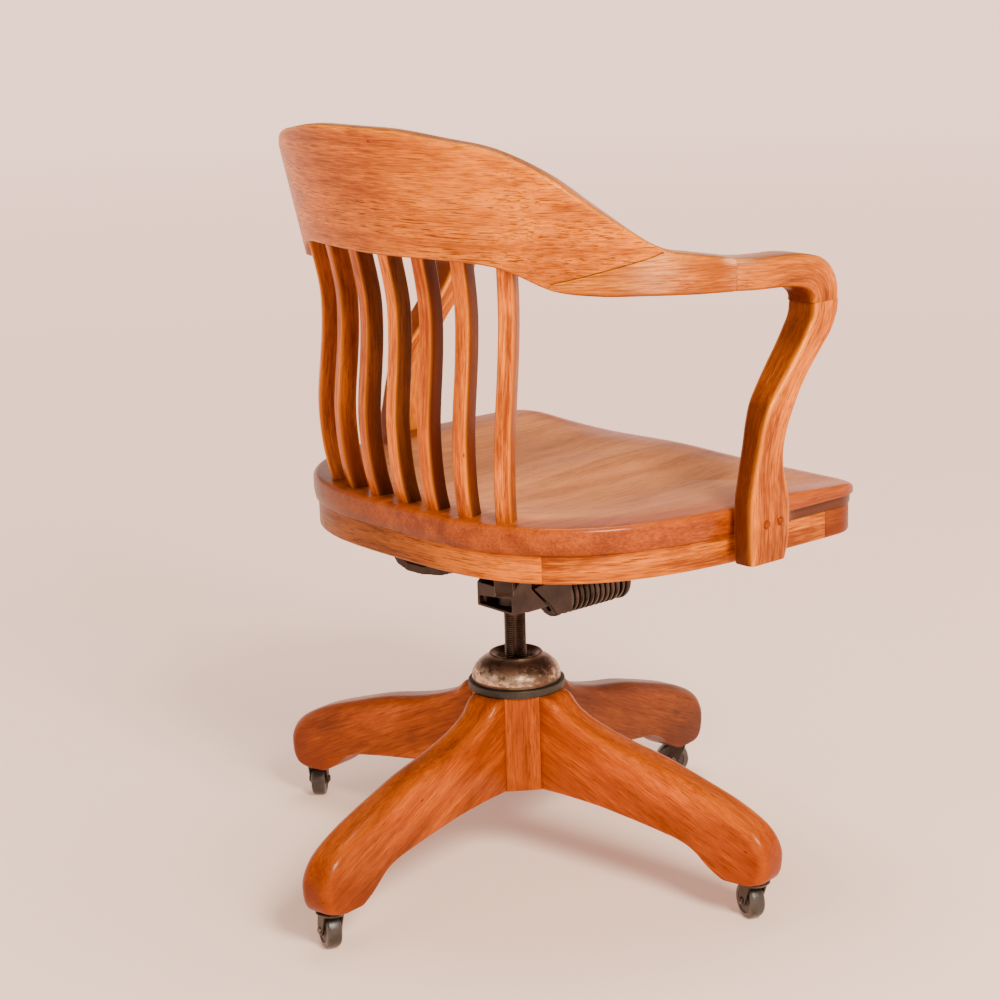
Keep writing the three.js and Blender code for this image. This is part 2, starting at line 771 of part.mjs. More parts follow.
// A section across two rails of the arm corner or post: outer rail, inner rail, inside face.
function sideSection(side, outer, inner, thickness, edge) {
  const place = (rail, depth) => {
    const rise = Math.max(rail.x - bowSpringY, 0) / (bowBack - bowSpringY);
    const face = bowHalfWidth * (1 - rise ** bowCurvePower) ** (1 / bowCurvePower);
    return new THREE.Vector3(side * (face - depth), rail.x, rail.y);
  };
  return section([
    place(outer, 0),
    place(outer, thickness),
    place(inner, thickness),
    place(inner, 0),
  ], edge);
}

function armCorner(side) {
  const place = ([forward, rise]) => new THREE.Vector2(
    THREE.MathUtils.lerp(armJointY - seatGap, armFrontY, forward),
    postTopZ + cornerHeight * rise,
  );
  const last = cornerOuterShares.length - 1;
  return loft(cornerOuterShares.map((outer, i) => {
    const thickness = THREE.MathUtils.lerp(armWidth, postTopThickness, smoothStep(i / last, 0.3, 1));
    return sideSection(side, place(outer), place(cornerInnerShares[i]), thickness, armEdge);
  }));
}

const postInnerCurve = curveThrough(postInnerShares);

function postSection(side, front, rear, thickness) {
  const place = (rail, depth) => new THREE.Vector3(side * (bowHalfWidth - depth), rail.x, rail.y);
  return section([
    place(front, 0),
    place(front, thickness),
    place(rear, thickness),
    place(rear, 0),
  ], postEdge);
}

function armPost(side) {
  const height = postTopZ - seatGap - postBottomZ;
  const place = ([forward, rise]) => new THREE.Vector2(
    THREE.MathUtils.lerp(postRearY, armFrontY, forward),
    postBottomZ + height * rise,
  );
  return loft(postFrontShares.map((front, i) => {
    const rear = postRearShares[i];
    const spread = postInnerCurve((front[1] + rear[1]) / 2);
    const thickness = THREE.MathUtils.lerp(postFootThickness, postTopThickness, spread);
    return postSection(side, place(front), place(rear), thickness);
  }));
}

function addArms() {
  [['left', 1], ['right', -1]].forEach(([name, side]) => {
    addPiece(`arm_${name}`, arm(side), 'oak');
    addPiece(`arm_corner_${name}`, armCorner(side), 'oak');
    const holes = postScrewY.flatMap((y) => {
      const outside = side * (bowHalfWidth + overrun);
      const inside = side * (seatHalfWidth - overrun);
      const seat = side * (bowHalfWidth - buttonDepth - seatGap);
      return [
        rodX(outside, seat, y, postScrewZ, buttonRadius + seatGap),
        rodX(outside, inside, y, postScrewZ, postScrewRadius + seatGap),
      ];
    });
    addPiece(`arm_post_${name}`, cut(armPost(side), ...holes), 'oak');
    postScrewY.forEach((y, i) => {
      const outside = side * (bowHalfWidth + seatGap);
      const neck = side * (bowHalfWidth - buttonDepth);
      const tip = side * (seatHalfWidth - postScrewBite);
      const screw = join(
        rodX(outside, neck, y, postScrewZ, buttonRadius),
        rodX(outside, tip, y, postScrewZ, postScrewRadius),
      );
      addPiece(`post_screw_${name}_${i + 1}`, screw, 'oak');
    });
  });
}

// Slats

const slatSwayCurve = curveThrough(slatSwayShares);

function slat({ foot, head, headInset }, crestTool) {
  const low = seatTop + seatGap;
  const high = bowFootAt(Math.abs(head) / bow.length) - seatGap;
  const footEnd = seatEdge.at(foot, slatFootMiddle);
  const headEnd = bow.at(head, headInset);
  const heading = slatTurn * Math.atan2(headEnd.normal.x, headEnd.normal.y);
  const normal = new THREE.Vector2(Math.sin(heading), Math.cos(heading));
  const bodyRing = (share) => {
    const centre = footEnd.point.clone().lerp(headEnd.point, share);
    centre.addScaledVector(normal, slatSway * slatSwayCurve(share));
    const across = new THREE.Vector3(-normal.y, normal.x, 0).multiplyScalar(slatWidth / 2);
    const deep = new THREE.Vector3(normal.x, normal.y, 0).multiplyScalar(slatDepth / 2);
    const z = THREE.MathUtils.lerp(low, high, share);
    const corners = [[1, 1], [-1, 1], [-1, -1], [1, -1]].map(([u, v]) => (
      new THREE.Vector3(centre.x, centre.y, z).addScaledVector(across, u).addScaledVector(deep, v)));
    return section(corners, slatEdge);
  };
  const tenon = (path, station, inset, z) => (
    slatSection(path, station, inset, tenonSide, tenonSide, seatGap, z));
  const rings = [
    tenon(seatEdge, foot, slatFootMiddle, low - tenonLength),
    tenon(seatEdge, foot, slatFootMiddle, low),
  ];
  for (let i = 0; i <= slatRings; i += 1) rings.push(bodyRing(i / slatRings));
  const crown = rings.at(-1).map((point) => point.clone().setZ(high + crestEdge));
  const topTenon = loft([
    tenon(bow, head, headInset, high - slatDepth),
    tenon(bow, head, headInset, high + tenonLength),
  ]);
  return join(cut(loft([...rings, crown]), crestTool), topTenon);
}

function addSlats() {
  const crestTool = crestRail().translate([0, 0, -seatGap]);
  slatStations().forEach((stations, i) => {
    addPiece(`slat_${i + 1}`, slat(stations, crestTool), 'oak');
  });
}

// Column

function keyBars(half, depthFrom, depthTo, z0, z1) {
  return [0, 1].map((turn) => turnedZ(
    block(depthFrom, depthTo, -half, half, z0, z1),
    keywayAngle + turn * Math.PI,
  ));
}

function addColumn() {
  const sleeveBore = spindleRadius + runningGap + seatGap;
  const sleeveOuter = sleeveBore + sleeveWall;
  const spindle = turned([
    [0, spindleBottom],
    [spindleRadius - spindleChamfer, spindleBottom],
    [spindleRadius, spindleBottom + spindleChamfer],
    [spindleRadius, spindleShoulder],
    [journalRadius, spindleShoulder],
    [journalRadius, journalTop],
    [0, journalTop],
  ], fineSides);
  const groove = spindleRadius - keywayDepth;
  const slots = keyBars(
    keywayWidth / 2,
    groove,
    spindleRadius + overrun,
    spindleBottom - overrun,
    spindleShoulder,
  );
  addPiece('spindle', cut(spindle, ...slots), 'steel');

  const sleeveTube = turned([
    [sleeveBore, spindleBottom],
    [sleeveOuter, spindleBottom],
    [sleeveOuter, hubTop],
    [sleeveBore, hubTop],
  ], fineSides);
  const keys = keyBars(
    keywayWidth / 2 - 2 * seatGap,
    groove + seatGap,
    sleeveBore + sleeveWall / 2,
    spindleBottom,
    hubTop,
  );
  addPiece('hub_sleeve', join(sleeveTube, ...keys), 'steel');

  const collarFoot = yokeHubTop + seatGap;
  addPiece('spindle_collar', cut(
    rodZ(collarFoot, collarFoot + collarHeight, 0, 0, collarRadius, hexSides),
    rodZ(collarFoot - overrun, journalTop + overrun, 0, 0, journalRadius + seatGap, fineSides),
  ), 'steel');

  const ringFoot = hubTop + seatGap;
  const ringTop = ringFoot + ringThickness;
  addPiece('hub_ring', turned([
    [ringBore, ringFoot],
    [ringRadius, ringFoot],
    [ringRadius, ringTop],
    [ringBore, ringTop],
  ], fineSides), 'ring');

  const bellFoot = ringTop + seatGap;
  const shoulder = bellFoot + bellFootHeight;
  const dome = bellDomeShares.map(([out, rise]) => [
    THREE.MathUtils.lerp(bellRimRadius, bellFootRadius, out),
    THREE.MathUtils.lerp(shoulder, bellTop, rise),
  ]);
  const bellBore = spindleRadius + runningGap;
  addPiece('bell_nut', turned([
    [bellBore, ringFoot + seatGap],
    [ringBore - runningGap, ringFoot + seatGap],
    [ringBore - runningGap, bellFoot],
    [bellFootRadius, bellFoot],
    [bellFootRadius, shoulder],
    ...dome,
    [bellRimRadius - bellRimWall, bellTop],
    [bellRimRadius - bellRimWall, bellTop - bellRecess],
    [bellBore, bellTop - bellRecess],
  ], fineSides), 'bell');
  return { sleeveOuter };
}

// Base

function hubBlock(boreRadius) {
  const corner = hubHalfSide - legWidth / 2;
  const near = legWidth / 2;
  const outline = [
    [hubHalfSide, -near],
    [hubHalfSide, near],
    [hubHalfSide - corner, hubHalfSide],
    [-near, hubHalfSide],
    [-hubHalfSide, near],
    [-hubHalfSide, -near],
    [-near, -hubHalfSide],
    [near, -hubHalfSide],
  ];
  const rings = [hubBottom, hubTop].map((z) => outline.map(([x, y]) => new THREE.Vector3(x, y, z)));
  return cut(
    turnedZ(loft(rings), legTurn),
    rodZ(hubBottom - overrun, hubTop + overrun, 0, 0, boreRadius, fineSides),
  );
}

// A leg along +X: its top rail bends over the foot, its lower rail ends at the flat sole.
function leg() {
  const root = hubHalfSide + seatGap;
  const place = ([out, rise]) => new THREE.Vector2(
    THREE.MathUtils.lerp(root, legReach, out),
    THREE.MathUtils.lerp(legFootZ, hubTop, rise),
  );
  const rings = legTopShares.map((row, i) => {
    const top = place(row);
    const foot = place(legFootShares[i]);
    const half = legWidth / 2;
    return section([
      new THREE.Vector3(top.x, half, top.y),
      new THREE.Vector3(top.x, -half, top.y),
      new THREE.Vector3(foot.x, -half, foot.y),
      new THREE.Vector3(foot.x, half, foot.y),
    ], legEdge);
  });
  const bore = rodZ(
    legFootZ - overrun,
    legFootZ + socketTubeHeight + seatGap,
    casterCircle,
    0,
    socketTubeRadius + seatGap,
  );
  return cut(loft(rings), bore);
}

// The four legs, and the way that each caster trails as it stands.
const legPlaces = [
  { name: 'left', angle: legTurn, trail: THREE.MathUtils.degToRad(-45) },
  { name: 'rear', angle: legTurn + Math.PI / 2, trail: THREE.MathUtils.degToRad(-18.4) },
  { name: 'right', angle: legTurn + Math.PI, trail: THREE.MathUtils.degToRad(-18.4) },
  { name: 'front', angle: legTurn + 1.5 * Math.PI, trail: THREE.MathUtils.degToRad(49.6) },
];

// Casters, made about their swivel axis and trailing along +X

function casterSocket() {
  const plateTop = legFootZ - seatGap;
  const plateFoot = plateTop - socketPlateThickness;
  const bore = forkStemRadius + seatGap;
  const tubeTop = legFootZ + socketTubeHeight;
  return turned([
    [0, tubeTop - socketPlateThickness],
    [bore, tubeTop - socketPlateThickness],
    [bore, plateFoot],
    [socketPlateRadius, plateFoot],
    [socketPlateRadius, plateTop],
    [socketTubeRadius, plateTop],
    [socketTubeRadius, tubeTop],
    [0, tubeTop],
  ], roundSides);
}

function casterFork() {
  const plateTop = legFootZ - 2 * seatGap - socketPlateThickness;
  const plateFoot = plateTop - forkPlateThickness;
  const inside = wheelWidth / 2 + seatGap;
  const stemTop = legFootZ + socketTubeHeight - socketPlateThickness - runningGap;
  const eyeArc = [-0.9, -0.6, -0.3, 0, 0.3].map((turn) => [
    casterTrail + forkEyeRadius * Math.cos(turn * Math.PI),
    wheelRadius + forkEyeRadius * Math.sin(turn * Math.PI),
  ]);
  const outline = [
    [-forkPlateRadius / 2, plateTop],
    [-forkPlateRadius / 2, plateFoot - forkPlateThickness],
    ...eyeArc,
    [casterTrail + forkEyeRadius, plateTop],
  ];
  const ear = (y0) => {
    const shape = new THREE.Shape(outline.map(([x, z]) => new THREE.Vector2(x, -z)));
    const geometry = new THREE.ExtrudeGeometry(shape, {
      depth: forkEarThickness,
      bevelEnabled: false,
    });
    geometry.rotateX(-Math.PI / 2);
    return toSolid(geometry.translate(0, y0, 0));
  };
  const whole = join(
    rodZ(plateFoot, plateTop, 0, 0, forkPlateRadius, roundSides),
    rodZ(plateFoot, stemTop, 0, 0, forkStemRadius),
    ear(inside),
    ear(-inside - forkEarThickness),
  );
  const across = inside + forkEarThickness + overrun;
  return cut(
    whole,
    rodY(-across, across, casterTrail, wheelRadius, casterAxleRadius + seatGap),
  );
}

// Turned pieces of a wheel stand along Z and are laid along Y here, with one facet edge down.
function layAlongY(solid) {
  return solid.rotate([90, 0, 0]).translate([casterTrail, 0, wheelRadius]);
}

function casterWheel() {
  const half = wheelWidth / 2 - seatGap;
  const bore = casterAxleRadius + seatGap;
  return layAlongY(turned([
    [bore, -half],
    [wheelRadius - wheelRound, -half],
    [wheelRadius, wheelRound - half],
    [wheelRadius, half - wheelRound],
    [wheelRadius - wheelRound, half],
    [bore, half],
  ], wheelSides));
}

function casterAxle() {
  const seat = wheelWidth / 2 + seatGap + forkEarThickness + seatGap;
  const end = seat + axleHeadHeight;
  return layAlongY(turned([
    [0, -end],
    [axleHeadRadius, -end],
    [axleHeadRadius, -seat],
    [casterAxleRadius, -seat],
    [casterAxleRadius, seat],
    [axleHeadRadius, seat],
    [axleHeadRadius, end],
    [0, end],
  ], smallSides));
}

function addBase(sleeveOuter) {
  addPiece('hub_block', hubBlock(sleeveOuter + seatGap), 'legOak');
  legPlaces.forEach(({ name, angle, trail }) => {
    addPiece(`leg_${name}`, turnedZ(leg(), angle), 'legOak');
    const stand = [casterCircle * Math.cos(angle), casterCircle * Math.sin(angle), 0];
    const place = (solid) => turnedZ(solid, trail).translate(stand);
    addPiece(`caster_socket_${name}`, place(casterSocket()), 'caster');
    addPiece(`caster_fork_${name}`, place(casterFork()), 'caster');
    addPiece(`caster_wheel_${name}`, place(casterWheel()), 'caster');
    addPiece(`caster_axle_${name}`, place(casterAxle()), 'steel');
  });
}

// Yoke: a box casting that turns on the spindle's journal and carries the tilt axle

function yoke() {
  const bottom = spindleShoulder + seatGap;
  const floorTop = bottom + yokeFloor;
  const earSlant = earRadius * Math.SQRT1_2;
  const outline = [
    [yokeFootFront, bottom],
    [yokeRear, bottom],
    [yokeRear, yokeRearTop],
    [tiltAxisY + earRadius, tiltAxisZ + earRadius],
    [tiltAxisY, tiltAxisZ + earRadius],
    [tiltAxisY - earSlant, tiltAxisZ + earSlant],
    [tiltAxisY - earRadius, tiltAxisZ],
    [tiltAxisY - earSlant, tiltAxisZ - earSlant],
    [tiltAxisY, yokeThroatTop],
    [yokeThroatY, yokeThroatTop],
    [yokeThroatY, yokeThroatFoot],
  ];
  const wall = (x0, x1) => sidePlate(outline, x0, x1);
  const boss = block(
    -boltBossHalf,
    boltBossHalf,
    boltBossY,
    -yokeHubRadius / 2,
    boltZ - boltBossHalf,
    boltZ + boltBossHalf,
  );
  const body = join(
    wall(-yokeHalfWidth, yokeWall - yokeHalfWidth),
    wall(yokeHalfWidth - yokeWall, yokeHalfWidth),
    block(-yokeHalfWidth, yokeHalfWidth, yokeFootFront, yokeRear, bottom, floorTop),
    block(
      -yokeHalfWidth,
      yokeHalfWidth,
      yokeRear - yokeWall,
      yokeRear,
      bottom,
      yokeRearTop,
    ),
    rodZ(bottom, yokeHubTop, 0, 0, yokeHubRadius, fineSides),
    boss,
  );
  const slotHalf = yokeHalfWidth - yokeWall / 2;
  const slot = sideSlot(slotHalf, floorTop);
  return cut(
    body,
    slot,
    rodZ(bottom - overrun, yokeHubTop + overrun, 0, 0, journalRadius + seatGap, fineSides),
    rodZ(bottom - 2 * overrun, bottom, 0, 0, spindleRadius + runningGap, fineSides),
    rodX(
      -yokeHalfWidth - overrun,
      yokeHalfWidth + overrun,
      tiltAxisY,
      tiltAxisZ,
      tiltAxleRadius + seatGap,
      roundSides,
    ),
    rodY(boltBossY - overrun, boltBossY + boltBossHalf + seatGap, 0, boltZ, boltRadius + seatGap),
  );
}

// The open slot low in the yoke's rear wall, taller toward the sitter's right.
function sideSlot(half, floorTop) {
  const corners = [
    [-half, floorTop],
    [half, floorTop],
    [half, (floorTop + yokeSlotTop) / 2 + yokeFloor],
    [-half, yokeSlotTop + yokeFloor],
  ];
  const depths = [yokeRear - yokeWall - seatGap, yokeRear + overrun];
  return loft(depths.map((y) => corners.map(([x, z]) => new THREE.Vector3(x, y, z))));
}

// Seat iron: spine over the yoke, lug plate for the spring, and four arms to the board

function ironArm(from, to) {
  const along = to.clone().sub(from);
  const flat = new THREE.Vector2(along.x, along.y).normalize();
  const across = new THREE.Vector3(-flat.y, flat.x, 0);
  const padTop = seatBottom - seatGap;
  const spineTop = ironSpineBottom + ironSpineThickness;
  const thick = padThickness;
  return loft(ironArmShares.map(([out, under, over]) => {
    const centre = from.clone().addScaledVector(along, out);
    const start = out === 0 ? ironSpineBottom : ironArmDrop;
    const low = THREE.MathUtils.lerp(start, padTop - thick, out === 0 ? 0 : under);
    const high = THREE.MathUtils.lerp(low + thick, padTop, over);
    const half = (under < 1 ? ironArmWidth : 2 * padHalfWidth) / 2;
    return [[half, low], [half, out === 0 ? spineTop : high], [-half, out === 0 ? spineTop : high],
      [-half, low]].map(([side, z]) => (
      new THREE.Vector3(centre.x, centre.y, z).addScaledVector(across, side)));
  }));
}

function seatIron() {
  const spineTop = ironSpineBottom + ironSpineThickness;
  const cheek = yokeHalfWidth - yokeWall - runningGap;
  const lugRear = lugFront + lugThickness;
  const wallOutline = [
    [lugFront, lugFootZ],
    [lugHeelY, lugFootZ],
    [lugKneeY, lugKneeZ],
    [lugTipY, lugTipZ],
    [lugShelfY, lugShelfZ],
    [lugFront, lugShelfZ],
  ];
  const pads = ironPads();
  const arms = pads.map(([x, y]) => {
    const side = Math.sign(x);
    const from = y > 0
      ? new THREE.Vector3(side * yokeRear, yokeRear + yokeWall, 0)
      : new THREE.Vector3(side * cheek, lugRear - lugThickness / 2, 0);
    const to = new THREE.Vector3(x, y, 0);
    to.addScaledVector(to.clone().sub(from).normalize(), padHalfWidth);
    return ironArm(from, to);
  });
  const body = join(
    block(-cheek, cheek, lugRear, ironSpineRear, ironSpineBottom, spineTop),
    block(-yokeRear - yokeWall, yokeRear + yokeWall, yokeRear, ironSpineRear, ironSpineBottom,
      spineTop),
    rodX(-cheek, cheek, tiltAxisY, tiltAxisZ, ironBossRadius, roundSides),
    block(-yokeHalfWidth, yokeHalfWidth, lugFront, lugRear, lugFootZ, spineTop),
    rodY(lugFront, lugRear, 0, boltZ, springRadius + seatGap, roundSides),
    sidePlate(wallOutline, -yokeHalfWidth, yokeWall - yokeHalfWidth),
    sidePlate(wallOutline, yokeHalfWidth - yokeWall, yokeHalfWidth),
    ...arms,
  );
  const rise = springRadius / 2;
  const slotHalf = boltRadius + runningGap;
  const boltSlot = join(
    block(-slotHalf, slotHalf, lugFront - overrun, lugRear + overrun, boltZ - rise, boltZ),
    rodY(lugFront - overrun, lugRear + overrun, 0, boltZ, slotHalf),
    rodY(lugFront - overrun, lugRear + overrun, 0, boltZ - rise, slotHalf),
  );
  const screwHoles = pads.map(([x, y]) => rodZ(
    ironSpineBottom,
    seatBottom + overrun,
    x,
    y,
    ironScrewRadius + seatGap,
  ));
  const bore = rodX(
    -yokeHalfWidth,
    yokeHalfWidth,
    tiltAxisY,
    tiltAxisZ,
    tiltAxleRadius + seatGap,
    roundSides,
  );
  return cut(body, boltSlot, bore, ...screwHoles);
}

function addTilt() {
  addPiece('yoke', yoke(), 'iron');
  addPiece('seat_iron', seatIron(), 'iron');
  const axleEnd = yokeHalfWidth + tiltAxleEnd;
  const axle = rodX(-axleEnd, axleEnd, tiltAxisY, tiltAxisZ, tiltAxleRadius, roundSides);
  addPiece('tilt_axle', axle, 'steel');
  const padFoot = seatBottom - seatGap - padThickness;
  ironPads().forEach(([x, y], i) => {
    const headTop = padFoot - seatGap;
    const screw = join(
      rodZ(headTop - ironScrewHeadHeight, headTop, x, y, ironScrewHeadRadius),
      rodZ(headTop - ironScrewHeadHeight, seatBottom + ironScrewBite, x, y, ironScrewRadius),
    );
    addPiece(`iron_screw_${i + 1}`, screw, 'steel');
  });
}

// Tilt spring: one open coil along the bolt, its ends straight and square to lug and cap

const coilSteps = 8;
const coilSides = 5;

function springPath() {
  const wire = springWire / 2;
  const mean = springRadius - wire;
  const start = lugFront - seatGap;
  const end = springEnd + seatGap;
  const points = [];
  const add = (turn, y) => points.push(new THREE.Vector3(
    mean * Math.cos(turn),
    y,
    boltZ + mean * Math.sin(turn),
  ));
  add(0, start);
  const total = springTurns * coilSteps;
  for (let i = 0; i <= total; i += 1) {
    const y = THREE.MathUtils.lerp(start - springWire, end + springWire, i / total);
    add((i / coilSteps) * 2 * Math.PI, y);
  }
  add(springTurns * 2 * Math.PI, end);
  return points;
}

// The least clear space between turns that are not neighbours along the wire.
function springLeastGap(points) {
  let least = Infinity;
  points.forEach((point, i) => points.slice(i + coilSteps - 1).forEach((other) => {
    least = Math.min(least, point.distanceTo(other) - springWire);
  }));
  return least;
}

function tiltSpring() {
  const points = springPath();
  console.log(`spring least gap ${springLeastGap(points).toFixed(2)} mm`);
  const last = points.length - 1;
  const axis = new THREE.Vector3(0, 1, 0);
  const rings = points.map((point, i) => {
    const back = points[Math.max(i - 1, 0)];
    const ahead = points[Math.min(i + 1, last)];
    const outward = new THREE.Vector3(point.x, 0, point.z - boltZ).normalize();
    const tangent = i === 0 || i === last
      ? ahead.clone().sub(back).normalize()
      : ahead.clone().sub(point).normalize().add(point.clone().sub(back).normalize()).normalize();
    const side = Math.abs(tangent.dot(axis)) > 0.99
      ? new THREE.Vector3().crossVectors(outward, axis).multiplyScalar(Math.sign(tangent.y))
      : new THREE.Vector3().crossVectors(outward, tangent);
    return Array.from({ length: coilSides }, (unused, k) => {
      const angle = (k / coilSides) * 2 * Math.PI;
      return point.clone()
        .addScaledVector(outward, (springWire / 2) * Math.cos(angle))
        .addScaledVector(side, (springWire / 2) * Math.sin(angle));
    });
  });
  return loft(rings);
}

// A solid turned along Z laid along -Y on the bolt's axis, its foot at the given y.
const alongBolt = (solid, y) => solid.rotate([90, 0, 0]).translate([0, y, boltZ]);

function addTension() {
  addPiece('tilt_spring', tiltSpring(), 'iron');
  const bore = boltRadius + seatGap;
  const capFoot = springEnd;
  addPiece('spring_cap', alongBolt(turned([
    [bore, 0],
    [springCapRadius, 0],
    [springCapRadius, springCapThickness / 2],
    [springCapRadius - springCapThickness / 2, springCapThickness],
    [bore, springCapThickness],
  ]), capFoot), 'iron');
  const knobFoot = capFoot - springCapThickness - seatGap;
  addPiece('tension_knob', alongBolt(turned([
    [bore, 0],
    [knobRadius - knobRound / 3, 0],
    [knobRadius, knobRound / 2],
    [knobRadius, knobLength - knobRound],
    [knobRadius - knobRound / 2, knobLength - knobRound / 4],
    [knobRadius - 2 * knobRound, knobLength],
    [bore, knobLength],
  ]), knobFoot), 'iron');
  const boltFrom = boltBossY + boltBossHalf;
  addPiece('tension_bolt', rodY(boltFrom, knobFoot - knobLength - seatGap, 0, boltZ, boltRadius),
    'steel');
}

addSeatBoard();
addAprons();
addCrestRail();
addArms();
addSlats();
const { sleeveOuter } = addColumn();
addBase(sleeveOuter);
addTilt();
addTension();

export default chair;
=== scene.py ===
# A bankers swivel chair in varnished oak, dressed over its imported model.
# Shapes are worked out in millimetres and turned into metres where each mesh is made.
import math
import bpy
import numpy as np
from mathutils import Matrix, Vector


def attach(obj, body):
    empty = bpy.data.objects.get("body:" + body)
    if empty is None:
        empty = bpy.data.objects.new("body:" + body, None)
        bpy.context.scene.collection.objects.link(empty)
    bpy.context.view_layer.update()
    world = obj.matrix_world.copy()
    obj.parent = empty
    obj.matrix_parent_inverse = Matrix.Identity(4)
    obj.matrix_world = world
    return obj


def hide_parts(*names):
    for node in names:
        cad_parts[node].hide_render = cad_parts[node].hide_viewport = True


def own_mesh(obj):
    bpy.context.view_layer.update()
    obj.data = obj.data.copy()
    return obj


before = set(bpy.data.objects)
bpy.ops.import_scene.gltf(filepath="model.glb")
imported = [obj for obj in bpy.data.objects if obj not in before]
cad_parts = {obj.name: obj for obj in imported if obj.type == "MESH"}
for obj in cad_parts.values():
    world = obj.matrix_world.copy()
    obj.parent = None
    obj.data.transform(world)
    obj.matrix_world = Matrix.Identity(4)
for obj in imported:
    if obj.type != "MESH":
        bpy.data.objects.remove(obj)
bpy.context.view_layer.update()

MM = 0.001


# Camera, floor and light

def put(name, data):
    """A new object in the scene."""
    made = bpy.data.objects.new(name, data)
    bpy.context.scene.collection.objects.link(made)
    return made


def place_camera():
    """The photograph's viewpoint, with its small roll."""
    lens = bpy.data.cameras.new("view")
    lens.lens = 85.6
    lens.sensor_width = 36
    lens.clip_end = 200
    ahead = Vector((0.7387, -0.6288, -0.2426))
    up = Vector((0.1847, -0.1572, 0.9701))
    right = Vector((-0.6482, -0.7615, 0))
    roll = 0.03006
    tilted_right = right * math.cos(roll) - up * math.sin(roll)
    tilted_up = right * math.sin(roll) + up * math.cos(roll)
    turn = Matrix((tilted_right, tilted_up, -ahead)).transposed().to_4x4()
    camera = put("view", lens)
    camera.matrix_world = Matrix.Translation((-1.9384, 1.6666, 1.0586)) @ turn
    bpy.context.scene.camera = camera


def lamp(name, at, size, power, colour):
    """A round lamp that points at the middle of the chair."""
    light = bpy.data.lights.new(name, "AREA")
    light.shape = "DISK"
    light.size = size
    light.energy = power
    light.color = colour
    made = put(name, light)
    made.location = at
    made.rotation_mode = "QUATERNION"
    made.rotation_quaternion = (Vector((0, 0, 0.4)) - Vector(at)).to_track_quat("-Z", "Y")


def light_room():
    world = bpy.data.worlds.new("studio")
    bpy.context.scene.world = world
    world.use_nodes = True
    sky = world.node_tree.nodes["Background"]
    sky.inputs["Color"].default_value = (1.0, 0.9, 0.82, 1)
    sky.inputs["Strength"].default_value = 0.4
    lamp("key", (-3.0, 0.8, 2.6), 1.2, 255, (1.0, 0.9, 0.74))
    lamp("side", (0.9, 3.0, 2.0), 1.4, 8, (1.0, 0.95, 0.9))
    lamp("top", (0.3, -0.4, 3.0), 1.6, 60, (1.0, 0.92, 0.84))


# Shaders

class Wire:
    """A shader value that can be reckoned with: each operator adds a Math node."""

    def __init__(self, shader, socket):
        self.shader = shader
        self.socket = socket

    def reckon(self, operation, first, second):
        return self.shader.node("ShaderNodeMath", {0: first, 1: second}, operation=operation)

    def __add__(self, other):
        return self.reckon("ADD", self, other)

    __radd__ = __add__

    def __sub__(self, other):
        return self.reckon("SUBTRACT", self, other)

    def __rsub__(self, other):
        return self.reckon("SUBTRACT", other, self)

    def __mul__(self, other):
        return self.reckon("MULTIPLY", self, other)

    __rmul__ = __mul__

    def __truediv__(self, other):
        return self.reckon("DIVIDE", self, other)


class Shader:
    """A material on its Principled shader, with short names for the nodes that it needs."""

    def __init__(self, name, **fixed):
        self.material = bpy.data.materials.new(name)
        self.material.use_nodes = True
        self.tree = self.material.node_tree
        self.surface = self.tree.nodes["Principled BSDF"]
        self.finish(**fixed)

    def feed(self, socket, value):
        if isinstance(value, Wire):
            self.tree.links.new(value.socket, socket)
        else:
            socket.default_value = value

    def finish(self, **fed):
        for socket, value in fed.items():
            self.feed(self.surface.inputs[socket.replace("_", " ")], value)
        return self.material

    def node(self, kind, values=None, output=0, stops=(), between="LINEAR", **settings):
        """A node of a type: its settings or a ramp's stops first, then its sockets."""
        made = self.tree.nodes.new(kind)
        for name, setting in settings.items():
            setattr(made, name, setting)
        if stops:
            ramp = made.color_ramp
            ramp.interpolation = between
            for element, (at, colour) in zip(ramp.elements, (stops[0], stops[-1])):
                element.position = at
                element.color = (*colour, 1)
            for at, colour in stops[1:-1]:
                ramp.elements.new(at).color = (*colour, 1)
        for socket, value in (values or {}).items():
            self.feed(made.inputs[socket], value)
        return Wire(self, made.outputs[output])

    def attribute(self, name, output="Fac"):
        return self.node("ShaderNodeAttribute", output=output, attribute_name=name)

    def place(self):
        return self.node("ShaderNodeTexCoord", output="Object")

    def stretch(self, vector, scales, offset=(0, 0, 0)):
        return self.node("ShaderNodeMapping", {
            "Vector": vector,
            "Scale": scales,
            "Location": offset,
        })

    def noise(self, vector, scales, detail=3.0, roughness=0.55, warp=0.0, offset=(0, 0, 0)):
        return self.node("ShaderNodeTexNoise", {
            "Vector": self.stretch(vector, scales, offset),
            "Scale": 1.0,
            "Detail": detail,
            "Roughness": roughness,
            "Distortion": warp,
        }, output="Fac")

    def step(self, value, low, high):
        """The shader's form of ease."""
        return self.node("ShaderNodeMapRange", {
            "Value": value,
            "From Min": low,
            "From Max": high,
        }, interpolation_type="SMOOTHSTEP")

    def ramp(self, value, stops, between="LINEAR"):
        return self.node("ShaderNodeValToRGB", {"Fac": value}, stops=stops, between=between)

    def mix(self, share, first, second, how="MIX"):
        return self.node("ShaderNodeMix", {0: share, 6: first, 7: second}, output=2,
                         data_type="RGBA", blend_type=how)

    def toned(self, colour):
        """A colour times the piece's tone attribute, which holds painted light and shade as well
        as the wood's own lighter and darker places.
        """
        tone = self.attribute("tone")
        shade = self.node("ShaderNodeCombineColor", {"Red": tone, "Green": tone, "Blue": tone})
        return self.mix(1.0, colour, shade, "MULTIPLY")

    def bump(self, height, distance, strength):
        return self.node("ShaderNodeBump", {
            "Height": height,
            "Distance": distance,
            "Strength": strength,
        })


def scaled(colour, by=1.0):
    """A colour made darker or lighter, with its alpha."""
    return (*(min(1.0, by * part) for part in colour), 1)


